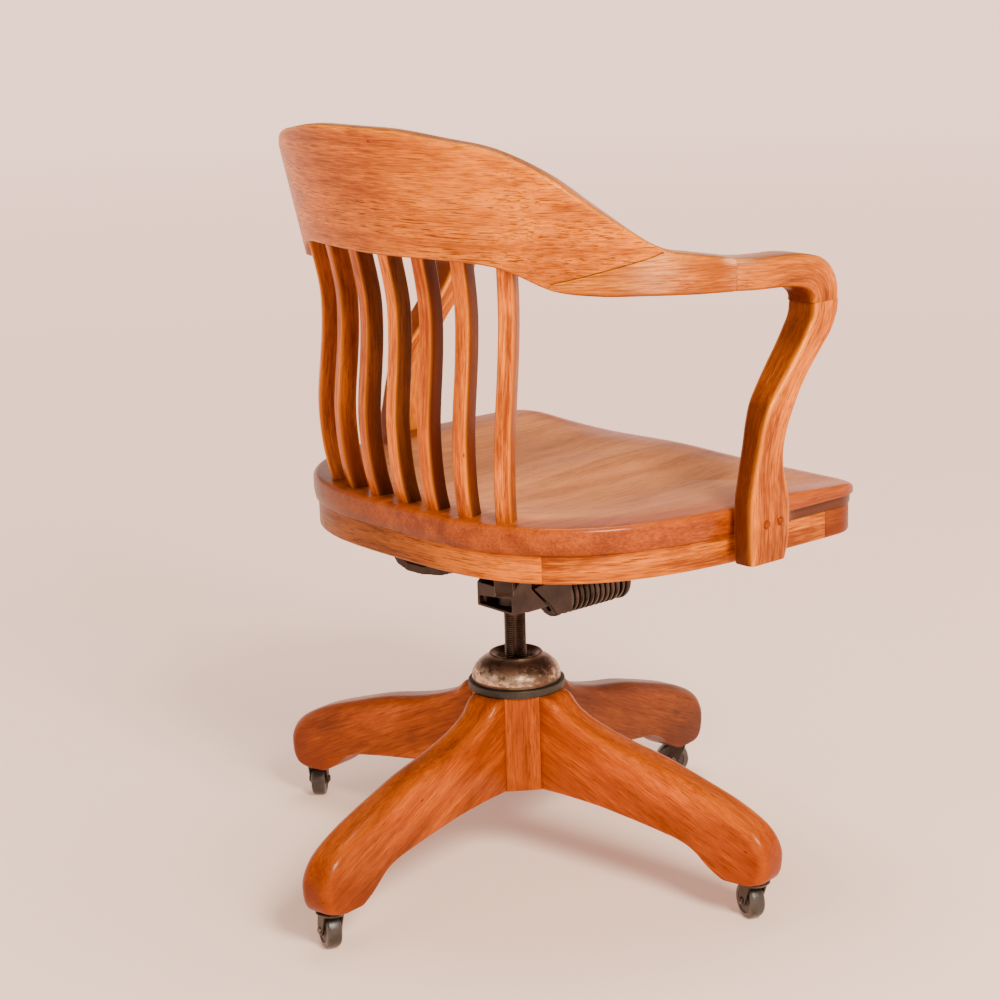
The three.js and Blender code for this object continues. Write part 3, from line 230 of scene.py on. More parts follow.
def oak(name, dark, mid, light, fleck=0.0, streaks=1.0, contrast=1.0):
    """Varnished oak. Its figure follows the grain attribute, in metres: along, across, deep."""
    wood = Shader(name, Coat_Roughness=0.12, Specular_IOR_Level=0.16,
                  Specular_Tint=(1.0, 0.6, 0.3, 1))
    grain = wood.attribute("grain", "Vector")
    sway = wood.noise(grain, (5, 10, 10), 2.0)
    bands = wood.noise(grain, (3.6, 70, 70), 3.0, 0.5, 0.35)
    cloud = wood.noise(grain, (9, 20, 20), 4.0, 0.62, 0.4, (3, 1, 2))
    fibre = wood.noise(grain, (34, 560, 560), 4.0, 0.65)
    pores = wood.step(wood.noise(grain, (52, 1050, 1050), 2.0, 0.6, 0, (5, 2, 8)), 0.56, 0.66)
    pores = pores * (0.3 + 0.7 * wood.step(bands, 0.42, 0.6))
    figure = bands * 0.44 + cloud * 0.44 + fibre * 0.55 + sway * 0.2 - 0.315
    reach = 0.11 / contrast
    colour = wood.ramp(figure, [(0.5 - reach, dark), (0.5, mid), (0.5 + reach, light)])
    streak = wood.step(wood.noise(grain, (16, 260, 260), 3.0, 0.6, 0.2, (9, 4, 1)), 0.55, 0.72)
    colour = wood.mix(streak * 0.5 * streaks, colour, scaled(dark, 0.55))
    colour = wood.mix(pores * (0.25 + 0.55 * contrast), colour, scaled(dark, 0.3))
    red = (dark[0] * 0.95, dark[1] * 0.62, dark[2] * 0.6, 1)
    # Ruddy reddens the wood: real redder stain in places, and with it a painted shade on the
    # shaded faces of the posts, corners and slats.
    ruddy = wood.attribute("ruddy") * (0.55 + 0.45 * wood.step(sway, 0.35, 0.6))
    colour = wood.mix(ruddy, colour, red)
    # The worn attribute pales the wood; on the arms and corners this pale patch is partly wear and
    # partly a painted highlight.
    bleach_and_glint = wood.attribute("worn") * (0.5 + 0.5 * wood.step(fibre, 0.4, 0.6))
    colour = wood.mix(bleach_and_glint, colour, (0.86, 0.5, 0.3, 1))
    if fleck:
        dashes = wood.noise(grain, (36, 820, 820), 2.0, 0.5, 0.1, (1, 7, 4))
        dashes = wood.step(dashes, 0.55, 0.62) * (0.45 + 0.55 * wood.step(bands, 0.4, 0.58))
        colour = wood.mix(dashes * fleck, colour, scaled(dark, 0.55))
    cells = wood.node("ShaderNodeTexVoronoi", {
        "Vector": wood.stretch(grain, (34, 60, 60)),
        "Scale": 1.0,
        "Randomness": 1.0,
    }, output="Distance")
    rare = wood.step(wood.noise(grain, (13, 21, 21)), 0.52, 0.6)
    spots = (1 - wood.step(cells, 0.05, 0.1)) * rare
    colour = wood.mix(spots * 0.75, colour, scaled(dark, 0.3))
    # Painted highlight: the edge attribute lightens the wood along rounded corners and arrises.
    colour = wood.mix(wood.attribute("edge") * 0.16, colour, scaled(light, 1.5))
    return wood.finish(
        Base_Color=wood.toned(colour),
        Roughness=0.3 + 0.12 * cloud + 0.2 * pores,
        Normal=wood.bump(fibre * 0.35 - pores - spots * 1.5, 0.00012, 0.6),
        Coat_Weight=0.1 * (1 - 0.5 * pores) * (1 - 0.4 * wood.step(cloud, 0.55, 0.8)),
    )


def seat_oak(name, faded, bare, rim_dark, rim_mid, rim_light, planks):
    """The board: planks front to back, varnish left on the rim and worn dull where one sits."""
    wood = Shader(name, Coat_Roughness=0.14, Specular_IOR_Level=0.2,
                  Specular_Tint=(1.0, 0.75, 0.6, 1))
    grain = wood.attribute("grain", "Vector")
    across = wood.node("ShaderNodeSeparateXYZ", {"Vector": grain}, output="Y")
    share = (across + 0.3) / 0.6
    stops = [(start, (seed, (seed * 7.3) % 1, (seed * 3.7) % 1)) for start, seed in planks]
    plank = wood.ramp(share, stops, "CONSTANT")
    shifted = wood.node("ShaderNodeVectorMath", {0: grain, 1: plank}, operation="ADD")
    bands = wood.noise(shifted, (2.6, 46, 46), 3.0, 0.5, 0.5)
    cloud = wood.noise(shifted, (5, 11, 11), 3.0, 0.6, 0.4)
    fibre = wood.noise(shifted, (20, 480, 480), 4.0, 0.65)
    pores = wood.step(wood.noise(shifted, (40, 1050, 1050), 2.0, 0.6), 0.585, 0.69)
    lift = wood.node("ShaderNodeSeparateColor", {"Color": plank}, output="Red")
    figure = bands * 0.42 + cloud * 0.36 + fibre * 0.5 + lift * 0.14 - 0.21
    varnished = wood.ramp(figure, [(0.32, rim_dark), (0.5, rim_mid), (0.7, rim_light)])
    dull = wood.ramp(figure, [(0.36, bare), (0.64, faded)])
    mask = wood.attribute("worn") * (0.8 + 0.2 * wood.step(cloud, 0.3, 0.6))
    colour = wood.mix(mask, varnished, dull)
    colour = wood.mix(pores * 0.5, colour, scaled(rim_dark, 0.4))
    lines = 0.0
    for start, _ in planks[1:]:
        gap = wood.node("ShaderNodeMath", {0: share - start}, operation="ABSOLUTE")
        lines = lines + (1 - wood.step(gap, 0.0005, 0.0022))
    colour = wood.mix(lines * 0.4, colour, scaled(rim_dark, 0.3))
    # Painted highlight: the edge attribute lightens the rolled rim.
    colour = wood.mix(wood.attribute("edge") * 0.12, colour, scaled(rim_light, 1.4))
    return wood.finish(
        Base_Color=wood.toned(colour),
        Roughness=0.3 + 0.2 * mask + 0.1 * cloud + 0.12 * pores,
        Normal=wood.bump(fibre * 0.3 - pores - lines, 0.0001, 0.6),
        Coat_Weight=0.2 * (1 - 0.9 * mask),
    )


def metal(name, low, high, rough, metallic=0.8, pit=0.00015, scale=160, worn=(0, 0, 0), wear_and_glint=0.0):
    """Cast or turned metal with a mottled, pitted skin, made lighter where its edge attribute
    says: partly rubbed wear, partly a painted highlight along edges.
    """
    skin = Shader(name, Specular_IOR_Level=0.5)
    place = skin.place()
    mottle = skin.noise(place, (scale * 0.25,) * 3, 4.0, 0.6, 0.6)
    grit = skin.noise(place, (scale * 4,) * 3, 3.0, 0.6)
    colour = skin.ramp(mottle * 0.75 + grit * 0.25, [(0.33, low), (0.67, high)])
    # Lighter edges: partly rubbed wear, partly a painted highlight.
    rub_and_glint = skin.attribute("edge") * skin.step(mottle + grit * 0.4, 0.45, 0.75) * wear_and_glint
    return skin.finish(
        Base_Color=skin.mix(rub_and_glint, colour, scaled(worn)),
        Roughness=rough + 0.22 * (mottle - 0.5) + 0.2 * (grit - 0.5) - 0.2 * rub_and_glint,
        Normal=skin.bump(grit + mottle, pit, 0.7),
        Metallic=metallic,
    )


def bell_metal():
    """The bell nut: brown bronzing, rubbed bright low down where hands turn it."""
    skin = Shader("bell_bronze", Specular_IOR_Level=0.5)
    place = skin.place()
    mottle = skin.noise(place, (38, 38, 60), 5.0, 0.62, 0.8)
    grit = skin.noise(place, (900,) * 3, 2.0)
    height = skin.node("ShaderNodeSeparateXYZ", {"Vector": place}, output="Z")
    low = skin.step(height, 0.2165, 0.2175) * (1 - skin.step(height, 0.226, 0.242))
    side = skin.noise(place, (16, 16, 16), 2.0, 0.5, 0.2, (2.4, 0.3, 0))
    speckle = skin.noise(place, (150, 150, 210), 4.0, 0.7)
    rubbed = low * skin.step(side * 0.5 + speckle * 0.6, 0.5, 0.62)
    colour = skin.ramp(mottle, [(0.3, (0.06, 0.034, 0.021)), (0.62, (0.16, 0.1, 0.065))])
    colour = skin.mix(rubbed, colour, (0.5, 0.36, 0.24, 1))
    pits = skin.step(skin.noise(place, (240,) * 3, 3.0, 0.6), 0.6, 0.7)
    colour = skin.mix(pits * 0.5 * (0.3 + 0.7 * rubbed), colour, (0.05, 0.035, 0.025, 1))
    return skin.finish(
        Base_Color=colour,
        Roughness=0.4 - 0.12 * rubbed + 0.15 * pits + 0.1 * (grit - 0.5),
        Normal=skin.bump(grit * 0.3 + mottle - pits, 0.0002, 0.6),
        Metallic=0.85,
    )


finishes = {
    "oak": oak("golden_oak", (0.22, 0.036, 0.0005), (0.5, 0.11, 0.0008), (0.8, 0.2, 0.002)),
    "crest": oak("flecked_oak", (0.27, 0.05, 0.0005), (0.58, 0.14, 0.0008), (0.85, 0.24, 0.002),
                 fleck=0.85, streaks=0.5, contrast=0.75),
    "arm": oak("arm_oak", (0.22, 0.043, 0.001), (0.43, 0.11, 0.002), (0.66, 0.2, 0.006),
               fleck=0.5, contrast=0.9),
    "leg": oak("leg_oak", (0.13, 0.019, 0.0005), (0.29, 0.048, 0.001), (0.5, 0.1, 0.002),
               streaks=0.6, contrast=0.6),
    "seat": seat_oak("seat_oak", (0.52, 0.19, 0.062), (0.25, 0.077, 0.02),
                     (0.09, 0.012, 0.0003), (0.25, 0.04, 0.0006), (0.48, 0.095, 0.001),
                     [(0.0, 0.2), (0.17, 0.75), (0.36, 0.1), (0.55, 0.9), (0.74, 0.4),
                      (0.89, 0.65)]),
    "iron": metal("japanned_iron", (0.010, 0.006, 0.005), (0.055, 0.033, 0.024), 0.46, 0.5,
                  worn=(0.11, 0.07, 0.052), wear_and_glint=0.3),
    "spring": metal("spring_steel", (0.012, 0.008, 0.006), (0.05, 0.034, 0.027), 0.38, 0.7,
                    worn=(0.14, 0.1, 0.08), wear_and_glint=0.35),
    "steel": metal("oiled_steel", (0.014, 0.008, 0.006), (0.06, 0.038, 0.026), 0.4, 0.8,
                   0.00005, 300, (0.2, 0.13, 0.085), 0.55),
    "bell": bell_metal(),
    "ring": metal("ring_iron", (0.014, 0.012, 0.009), (0.055, 0.048, 0.038), 0.52, 0.5,
                  0.0002, 120),
    "caster": metal("caster_iron", (0.010, 0.007, 0.005), (0.045, 0.032, 0.025), 0.42, 0.6,
                    worn=(0.16, 0.12, 0.1), wear_and_glint=0.5),
    "wheel": metal("wheel_rubber", (0.008, 0.006, 0.005), (0.035, 0.028, 0.024), 0.4, 0.0,
                   0.0002, 200, (0.09, 0.08, 0.07), 0.5),
}


# Curves and plan paths

def smooth_curve(rows):
    """A curve through rows of (at, value), level with its neighbours' slope at each row."""
    ats, values = (np.array(column, float) for column in zip(*rows))
    before = np.maximum(np.arange(len(ats)) - 1, 0)
    after = np.minimum(np.arange(len(ats)) + 1, len(ats) - 1)
    slopes = (values[after] - values[before]) / (ats[after] - ats[before])

    def value_at(at):
        at = np.asarray(at, float)
        i = np.clip(np.searchsorted(ats, at, side="left") - 1, 0, len(ats) - 2)
        span = ats[i + 1] - ats[i]
        t = np.clip((at - ats[i]) / span, 0, 1)
        rise = values[i + 1] - values[i]
        start = slopes[i] * span - rise
        end = rise - slopes[i + 1] * span
        return values[i] + t * rise + t * (1 - t) * ((1 - t) * start + t * end)

    return value_at


def ease(value, low, high):
    """0 up to low, 1 from high on and a soft rise between them."""
    t = np.clip((np.asarray(value, float) - low) / (high - low), 0, 1)
    return t * t * (3 - 2 * t)


def hump(value, centre, width):
    """1 at the centre, falling off softly to both sides."""
    return np.exp(-((value - centre) / width) ** 2)


def circle(angles):
    """Plan points of a circle of radius 1."""
    return np.column_stack([np.cos(angles), np.sin(angles)])


def blend(first, second, share):
    return first + (second - first) * share


class PlanPath:
    """Half of a plan curve from its back centre round the +X side; negative stations mirror it."""

    def __init__(self, points):
        self.points = np.array(points, float)
        steps = np.diff(self.points, axis=0)
        self.lengths = np.concatenate([[0], np.cumsum(np.hypot(*steps.T))])
        self.length = self.lengths[-1]
        padded = np.concatenate([self.points[:1], self.points, self.points[-1:]])
        tangents = padded[2:] - padded[:-2]
        self.normals = np.stack([-tangents[:, 1], tangents[:, 0]], 1)
        self.normals /= np.hypot(*self.normals.T)[:, None]
        self.normals[0] = (0, 1)

    def at(self, station, inset=0.0):
        """Points and outward normals at an array of stations."""
        station = np.atleast_1d(np.asarray(station, float))
        s = np.minimum(np.abs(station), self.length)
        side = np.where(station < 0, -1.0, 1.0)
        point = np.stack([np.interp(s, self.lengths, self.points[:, k]) for k in (0, 1)], 1)
        normal = np.stack([np.interp(s, self.lengths, self.normals[:, k]) for k in (0, 1)], 1)
        normal /= np.hypot(*normal.T)[:, None]
        point = point - normal * np.broadcast_to(inset, s.shape)[:, None]
        point[:, 0] *= side
        normal[:, 0] *= side
        return point, normal

    def find(self, axis, value, inset=0.0):
        """The station whose inset point has the wanted coordinate."""
        low, high = 0.0, self.length
        falling = self.at(0, inset)[0][0][axis] > self.at(high / 2, inset)[0][0][axis]
        for _ in range(40):
            middle = (low + high) / 2
            past = self.at(middle, inset)[0][0][axis] > value
            if past == falling:
                low = middle
            else:
                high = middle
        return low


def quarter_curve(half_width, depth, y0, power):
    angles = (math.pi / 2) * (1 - np.linspace(0, 1, 161))
    x = half_width * np.clip(np.cos(angles), 0, 1) ** (2 / power)
    y = y0 + depth * np.clip(np.sin(angles), 0, 1) ** (2 / power)
    return np.stack([x, y], 1)


BOW_HALF, BOW_BACK, BOW_SPRING, BOW_POWER = 310, 181, -100, 2.13
ARM_FRONT, ARM_JOINT = -193, -43
SEAT_HALF, SEAT_BACK, SEAT_SHOULDER, SEAT_CORNER = 283, 169, -228, 47
SEAT_FRONT = SEAT_SHOULDER - SEAT_CORNER


def bow_path():
    """The outside of crest and arms."""
    curve = quarter_curve(BOW_HALF, BOW_BACK - BOW_SPRING, BOW_SPRING, BOW_POWER)
    return PlanPath(np.concatenate([curve, [(BOW_HALF, ARM_FRONT)]]))


def seat_path():
    """The edge of the seat board."""
    curve = quarter_curve(SEAT_HALF, SEAT_BACK - SEAT_SHOULDER, SEAT_SHOULDER, 3.22)
    angles = -(math.pi / 2) * np.linspace(0, 1, 25)[1:]
    corner = np.array([SEAT_HALF - SEAT_CORNER, SEAT_SHOULDER]) + SEAT_CORNER * circle(angles)
    return PlanPath(np.concatenate([curve, corner, [(0, SEAT_FRONT)]]))


bow = bow_path()
seat_edge = seat_path()


# Meshes

def unit(vector):
    return vector / np.maximum(np.linalg.norm(vector, axis=-1, keepdims=True), 1e-9)


def at_height(plan, z):
    """Points of a plan, raised to a height or to one height each."""
    return np.column_stack([plan, np.broadcast_to(z, len(plan))])


def rounded(rails, radii, steps=5, roll=0.0):
    """Rings round a piece from a rail along each of its corners, with the corners rounded and
    the ends rolled in. With them comes edge, which is 1 in the middle of a corner."""
    rings, edge = [], []
    for i, here in enumerate(rails):
        back, ahead = rails[i - 1] - here, rails[(i + 1) % len(rails)] - here
        shorter = np.minimum(np.linalg.norm(back, axis=1), np.linalg.norm(ahead, axis=1))
        reach = np.minimum(radii[i], shorter * 0.49)[:, None]
        start, end = here + unit(back) * reach, here + unit(ahead) * reach
        near_start, near_end = here + unit(back) * reach * 0.45, here + unit(ahead) * reach * 0.45
        for t in np.linspace(0, 1, steps + 1):
            rings.append(start * (1 - t) ** 3 + 3 * near_start * t * (1 - t) ** 2
                         + 3 * near_end * t * t * (1 - t) + end * t ** 3)
            edge.append(math.sin(math.pi * t))
    rings = np.stack(rings, 1)
    return closed_in(rings, roll) if roll else rings, np.array(edge)


def closed_in(rings, radius):
    """Rings with their two open ends rolled in by a radius, so that the caps have soft edges."""
    def roll(ring, following):
        centre = ring.mean(0)
        out = unit(centre - following.mean(0))
        rolled = [ring - out * radius]
        for t in np.linspace(0, math.pi / 2, 5)[1:]:
            inward = unit(centre - ring) * radius * (1 - math.cos(t))
            rolled.append(ring + inward - out * radius * (1 - math.sin(t)))
        return rolled

    start = roll(rings[0], rings[1])[::-1]
    end = roll(rings[-1], rings[-2])
    return np.concatenate([start, rings[1:-1], end])


def store(mesh, label, values):
    """Keeps a number or a vector for each vertex under a name that the shaders read."""
    kind, field = ("FLOAT", "value") if np.ndim(values) == 1 else ("FLOAT_VECTOR", "vector")
    mesh.attributes.new(label, kind, "POINT").data.foreach_set(field, np.ravel(values))


def fit_out(piece, look, body, node):
    """Gives a piece its finish and its body, and hides the CAD node that it stands in for, if any.
    """
    piece.data.materials.clear()
    piece.data.materials.append(finishes[look])
    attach(piece, body)
    if node:
        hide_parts(node)
    return piece


def make_mesh(name, points, faces, look, body, grain, sharp=38, node=None, **values):
    """A smooth piece from points in millimetres. Unless a node is given, the piece stands for
    the one that it is named after, with one word more."""
    mesh = bpy.data.meshes.new(name)
    mesh.from_pydata((points * MM).tolist(), [], faces)
    mesh.validate()
    seed = sum(ord(letter) * (i + 3) for i, letter in enumerate(name)) % 97
    store(mesh, "grain", grain * MM + np.array([0.37, 0.11, 0.23]) * seed)
    for label, usual in (("tone", 1.0), ("edge", 0.0), ("worn", 0.0), ("ruddy", 0.0)):
        value = np.asarray(values.get(label, usual), float)
        store(mesh, label, np.broadcast_to(value, len(mesh.vertices)))
    mesh.shade_smooth()
    mesh.set_sharp_from_angle(angle=math.radians(sharp))
    return fit_out(put(name, mesh), look, body, name.rpartition("_")[0] if node is None else node)


def side_faces(rows, columns, tube=False):
    """Faces round rings of points, from the last ring back to the first in a tube."""
    faces = []
    for i in range(rows if tube else rows - 1):
        for j in range(columns):
            a, b = i * columns + j, i * columns + (j + 1) % columns
            c, d = (i + 1) % rows * columns + (j + 1) % columns, (i + 1) % rows * columns + j
            faces.append((a, b, c, d))
    return faces


def outward_faces(points, faces):
    """Turns every face round if the closed skin is inside out."""
    fans = [(face[0], b, c) for face in faces for b, c in zip(face[1:-1], face[2:])]
    a, b, c = (points[column] for column in np.array(fans).T)
    volume = np.einsum("ij,ij->", a, np.cross(b, c))
    return faces if volume > 0 else [face[::-1] for face in faces]


def ring_grain(rings):
    """Along the rings' centres, across and deep."""
    centres = rings.mean(1)
    along = np.concatenate([[0], np.cumsum(np.linalg.norm(np.diff(centres, axis=0), axis=1))])
    across_axis = unit(rings[:, rings.shape[1] // 4] - rings[:, 0])
    deep_axis = unit(rings[:, -1] - rings[:, 0])
    offset = rings - centres[:, None]
    across = np.einsum("ijk,ik->ij", offset, across_axis)
    deep = np.einsum("ijk,ik->ij", offset, deep_axis)
    return np.stack([np.broadcast_to(along[:, None], across.shape), across, deep], 2)


def skin(name, rings, look, body, grain=None, sharp=38, node=None, **values):
    """A closed piece from rings of points (rows, columns, 3), with values spread over them."""
    rows, columns = shape = rings.shape[:2]
    points = rings.reshape(-1, 3)
    caps = [tuple(range(columns))[::-1], tuple(range((rows - 1) * columns, rows * columns))]
    faces = outward_faces(points, side_faces(rows, columns) + caps)
    grain = ring_grain(rings) if grain is None else grain
    spread = {label: np.broadcast_to(value, shape).ravel() for label, value in values.items()}
    return make_mesh(name, points, faces, look, body, grain.reshape(-1, 3), sharp, node, **spread)


def outward(rings):
    """Unit normals at a piece's rings."""
    around = np.roll(rings, -1, 1) - np.roll(rings, 1, 1)
    normal = unit(np.cross(around, np.gradient(rings, axis=0)))
    away = np.einsum("ijk,ijk->ij", normal, rings - rings.mean(1, keepdims=True))
    return normal * np.sign(away)[..., None]


def carried(rings, values):
    """Values along a piece, held over the extra rings of its rolled ends."""
    extra = (len(rings) - len(values)) // 2
    return np.pad(values, (extra, extra), mode="edge")[:, None] + 0 * rings[..., 0]


def turned_piece(name, profile, look, body, at=(0, 0, 0), axis=(0, 0, 1), sides=96, edge=0.0,
                 **more):
    """A lathe piece from (radius, height) points about an axis; a closed profile makes a tube."""
    profile = np.asarray(profile, float)
    angles = np.linspace(0, 2 * math.pi, sides, endpoint=False)
    turn = np.array(Vector((0, 0, 1)).rotation_difference(Vector(axis)).to_matrix())
    solid_core = profile[0][0] == 0
    middle = profile[1:-1] if solid_core else profile
    rows = len(middle)
    points = np.concatenate([
        at_height(radius * circle(angles), height) for radius, height in middle
    ])
    faces = side_faces(rows, sides, tube=not solid_core)
    if solid_core:
        points = np.concatenate([points, [[0, 0, profile[0][1]], [0, 0, profile[-1][1]]]])
        last = (rows - 1) * sides
        for k in range(sides):
            faces.append((rows * sides, (k + 1) % sides, k))
            faces.append((rows * sides + 1, last + k, last + (k + 1) % sides))
    points = points @ turn.T + np.array(at)
    edges = np.zeros(len(points))
    edges[:rows * sides] = np.repeat(np.broadcast_to(edge, rows), sides)
    grain = (points - np.array(at))[:, [2, 0, 1]]
    faces = outward_faces(points, faces)
    return make_mesh(name, points, faces, look, body, grain, edge=edges, **more)


def mirrored(half):
    """A profile from its lower half: the upper half is the same from the other side."""
    return [*half, *((radius, -height) for radius, height in half[::-1])]


def soften(profile, radius):
    """A profile with its corners rounded, apart from its first two points and its last."""
    profile = [np.array(point, float) for point in profile]
    made = profile[:2]
    for before, here, after in zip(profile[1:], profile[2:], profile[3:]):
        back, ahead = before - here, after - here
        reach = min(radius, 0.45 * np.linalg.norm(back), 0.45 * np.linalg.norm(ahead))
        start, end = here + unit(back) * reach, here + unit(ahead) * reach
        for t in np.linspace(0, 1, 5):
            made.append(start * (1 - t) ** 2 + 2 * here * t * (1 - t) + end * t * t)
    return [*made, profile[-1]]


def cast_copy(node, look, body, voxel, passes=3):
    """A casting from a CAD node's own shape, with its edges and inner corners softened."""
    name = node + "_casting"
    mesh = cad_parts[node].data.copy()
    mesh.name = name
    piece = put(name, mesh)
    remesh = piece.modifiers.new("remesh", "REMESH")
    remesh.mode = "VOXEL"
    remesh.voxel_size = voxel * MM * 1
    smooth = piece.modifiers.new("smooth", "SMOOTH")
    smooth.factor = 0.5
    smooth.iterations = passes
    bpy.context.view_layer.update()
    depsgraph = bpy.context.evaluated_depsgraph_get()
    shaped = bpy.data.meshes.new_from_object(piece.evaluated_get(depsgraph))
    piece.modifiers.clear()
    piece.data = shaped
    places = np.array([vertex.co for vertex in shaped.vertices])
    normals = np.array([vertex.normal for vertex in shaped.vertices])
    starts, ends = np.array([edge.vertices for edge in shaped.edges]).T
    bend = np.zeros(len(places))
    for here, there in ((starts, ends), (ends, starts)):
        lift = np.einsum("ij,ij->i", places[there] - places[here], normals[here])
        np.add.at(bend, here, -lift)
    store(shaped, "edge", np.clip(bend / (voxel * MM) * 1.2, 0, 1))
    store(shaped, "tone", np.ones(len(places)))
    store(shaped, "grain", places[:, [2, 0, 1]] + 0.61)
    shaped.shade_smooth()
    fit_out(piece, look, body, node)


# Seat board and aprons

SEAT_TOP, SEAT_THICK, REBATE_HIGH, REBATE_DEEP, REBATE_Y = 445, 29, 12, 3.5, -148
RIM_FLAT, EDGE_ROUND, FRONT_ROLL = 42, 6, 22
SADDLE_DEEP, SADDLE_RUN_OUT = 13, 7.5
APRON_INSET, APRON_THICK, APRON_LOW = 5, 22, 385
APRON_REAR_Y, APRON_FRONT_Y = 129, -206
SEAT_BOTTOM = SEAT_TOP - SEAT_THICK
REBATE_TOP = SEAT_BOTTOM + REBATE_HIGH
front_wear = smooth_curve([(-1, 0.6), (-0.88, 0.95), (-0.7, 0.95), (-0.35, 0.85), (0, 0.45),
                           (0.42, 0.85), (0.65, 0.6), (0.85, 0.12), (1, 0.1)])


def saddle(points, reach):
    """How far the hollowed top lies below the rim; reach is 0 at the flat rim, 1 in the middle."""
    across = points[:, 0] / SEAT_HALF
    back = (points[:, 1] - SEAT_FRONT) / (SEAT_BACK - SEAT_FRONT)
    ridge = 0.75 * hump(across, 0, 0.16) * (1 - ease(back, 0.15, 0.75))
    bowl = ease(reach, 0, 0.5) * blend(0.7, 1, ease(back, 0.25, 0.6))
    mouth = SADDLE_RUN_OUT * front_wear(across) * (1 - ease(back, 0.03, 0.3))
    return SADDLE_DEEP * bowl * (1 - ridge) + mouth


def make_seat_board():
    stations = np.linspace(-seat_edge.length, seat_edge.length, 240, endpoint=False)
    outer, normal = seat_edge.at(stations)
    rebated = np.abs(stations) > seat_edge.find(1, REBATE_Y)
    rings = []

    def rim(inset):
        return seat_edge.at(stations, inset)[0]

    def lay(plan, height, edge=0.0, worn=0.0, tone=1.0):
        """One ring of points, each with its edge, worn and tone."""
        values = [np.broadcast_to(value, len(plan)) for value in (edge, worn, tone)]
        rings.append(np.column_stack([at_height(plan, height), *values]))

    # The rings at the foot of the board's edge are a little darker, and along the rebate much
    # darker as a painted shadow under the overhang; the rebate's lip gets a painted highlight
    # through its edge value.
    foot = np.where(rebated, REBATE_DEEP, 1.5)
    for inset, height in ((foot + 2, 0), (foot + 0.6, 0.6), (foot, 2)):
        lay(rim(inset), SEAT_BOTTOM + height, tone=np.where(rebated, 0.3, 0.8))
    for inset, height in ((REBATE_DEEP, -1), (1.2, -0.2)):
        lay(rim(np.where(rebated, inset, 0)), REBATE_TOP + height, tone=np.where(rebated, 0.3, 1))
    lay(rim(np.where(rebated, 0.3, 0)), REBATE_TOP + 0.1, np.where(rebated, 0.5, 0))
    lay(rim(0), REBATE_TOP + 1)
    roll = EDGE_ROUND + (FRONT_ROLL - EDGE_ROUND) * np.clip(-normal[:, 1], 0, 1) ** 2
    drop = np.minimum(roll, SEAT_THICK - REBATE_HIGH - 0.6)
    # The roll's edge value, highest halfway round, is a painted highlight along the rim.
    for turn in np.linspace(0, math.pi / 2, 9):
        plan = rim(roll * (1 - math.cos(turn)))
        mouth = saddle(plan, 0) * math.sin(turn)
        lay(plan, SEAT_TOP - drop * (1 - math.sin(turn)) - mouth, math.sin(2 * turn))
    for share in (0.2, 0.45, 0.7, 1.0):
        inset = blend(roll, RIM_FLAT, share)
        plan = rim(inset)
        lay(plan, SEAT_TOP - saddle(plan, 0), 0, ease(inset, 22, 54) * 0.8)
    flat, middle = rim(RIM_FLAT), np.array([0, (SEAT_BACK + SEAT_FRONT) / 2])
    for reach in np.concatenate([np.linspace(0.03, 0.5, 14), np.linspace(0.56, 0.98, 8)]):
        plan = blend(flat, middle, reach)
        lay(plan, SEAT_TOP - saddle(plan, reach), 0, 0.8 + 0.2 * ease(reach, 0, 0.15))
    rings = np.array(rings)
    edge, worn, tone = np.moveaxis(rings[..., 3:], -1, 0)
    rings = rings[..., :3]
    # Painted shade: the varnished rim darker towards the +X rear, away from the key lamp. Painted
    # sheen: the worn top lighter towards the back.
    rim_painted_shade = 0.95 - 0.52 * ease(outer[:, 0], -120, 190) * ease(outer[:, 1], -260, -60)
    varnished = 1 - ease(worn, 0, 0.5)
    tone = tone * blend(1, rim_painted_shade, varnished)
    tone *= 1 + 0.22 * ease(rings[..., 1], 10, 130) * (1 - varnished)
    skin("seat_board_top", rings, "seat", "seat", rings[..., [1, 0, 2]], 30, edge=edge, worn=worn,
         tone=tone)


def make_apron(name, start, end):
    stations = np.linspace(start, end, max(12, int(abs(end - start) / 6)))
    wrapped = np.where(stations > seat_edge.length, stations - 2 * seat_edge.length, stations)
    outer, _ = seat_edge.at(wrapped, APRON_INSET)
    inner, _ = seat_edge.at(wrapped, APRON_INSET + APRON_THICK)
    high = SEAT_BOTTOM - 0.3
    rails = [at_height(outer, APRON_LOW), at_height(outer, high), at_height(inner, high),
             at_height(inner, APRON_LOW)]
    rings, edge = rounded(rails, [3.2, 1.2, 2, 3.2], roll=0.9)
    # Painted shade: the aprons lighter at the -X side, where the key lamp stands, and darker
    # towards +X. The front apron is darker and redder towards its ends.
    tone, ruddy = 0.86 - 0.54 * ease(rings[..., 0], -200, 60), 0.0
    if name == "apron_front":
        ruddy = 0.9 * ease(np.abs(rings[..., 0]), 200, 225)
        tone = 0.8 - 0.25 * ruddy
    skin(name + "_rail", rings, "oak", "seat", edge=edge, tone=tone, ruddy=ruddy)


def make_aprons():
    rear = seat_edge.find(1, APRON_REAR_Y)
    front = seat_edge.find(1, APRON_FRONT_Y)
    far_front = 2 * seat_edge.length - front
    for word, start, end in (("rear", -rear, rear), ("left", rear, front),
                             ("right", -front, -rear), ("front", front, far_front)):
        make_apron("apron_" + word, start + 0.1, end - 0.1)


# Crest rail, arms, corners and posts

CREST_PEAK, CREST_EAVE, ARM_TOP, FOOT_DROP = 847, 714, 702, 41
LEAN, LEAN_HEIGHT = 0.19, 705
CREST_THIN, CREST_THICK, ARM_WIDTH = 20, 38, 47
SCARF_START, SCARF_END, SCARF_LOW, SCARF_HIGH, SCARF_GAP = 0.384, 0.588, 687, 724, 0.02
CORNER_HIGH, POST_TOP, POST_FOOT, POST_REAR, POST_THICK = 60, 652, 389, -56, 40
POST_FOOT_THICK = BOW_HALF - SEAT_HALF - 0.3
POST_SCREW_Y, POST_SCREW_Z = (-80, -101), 430.5

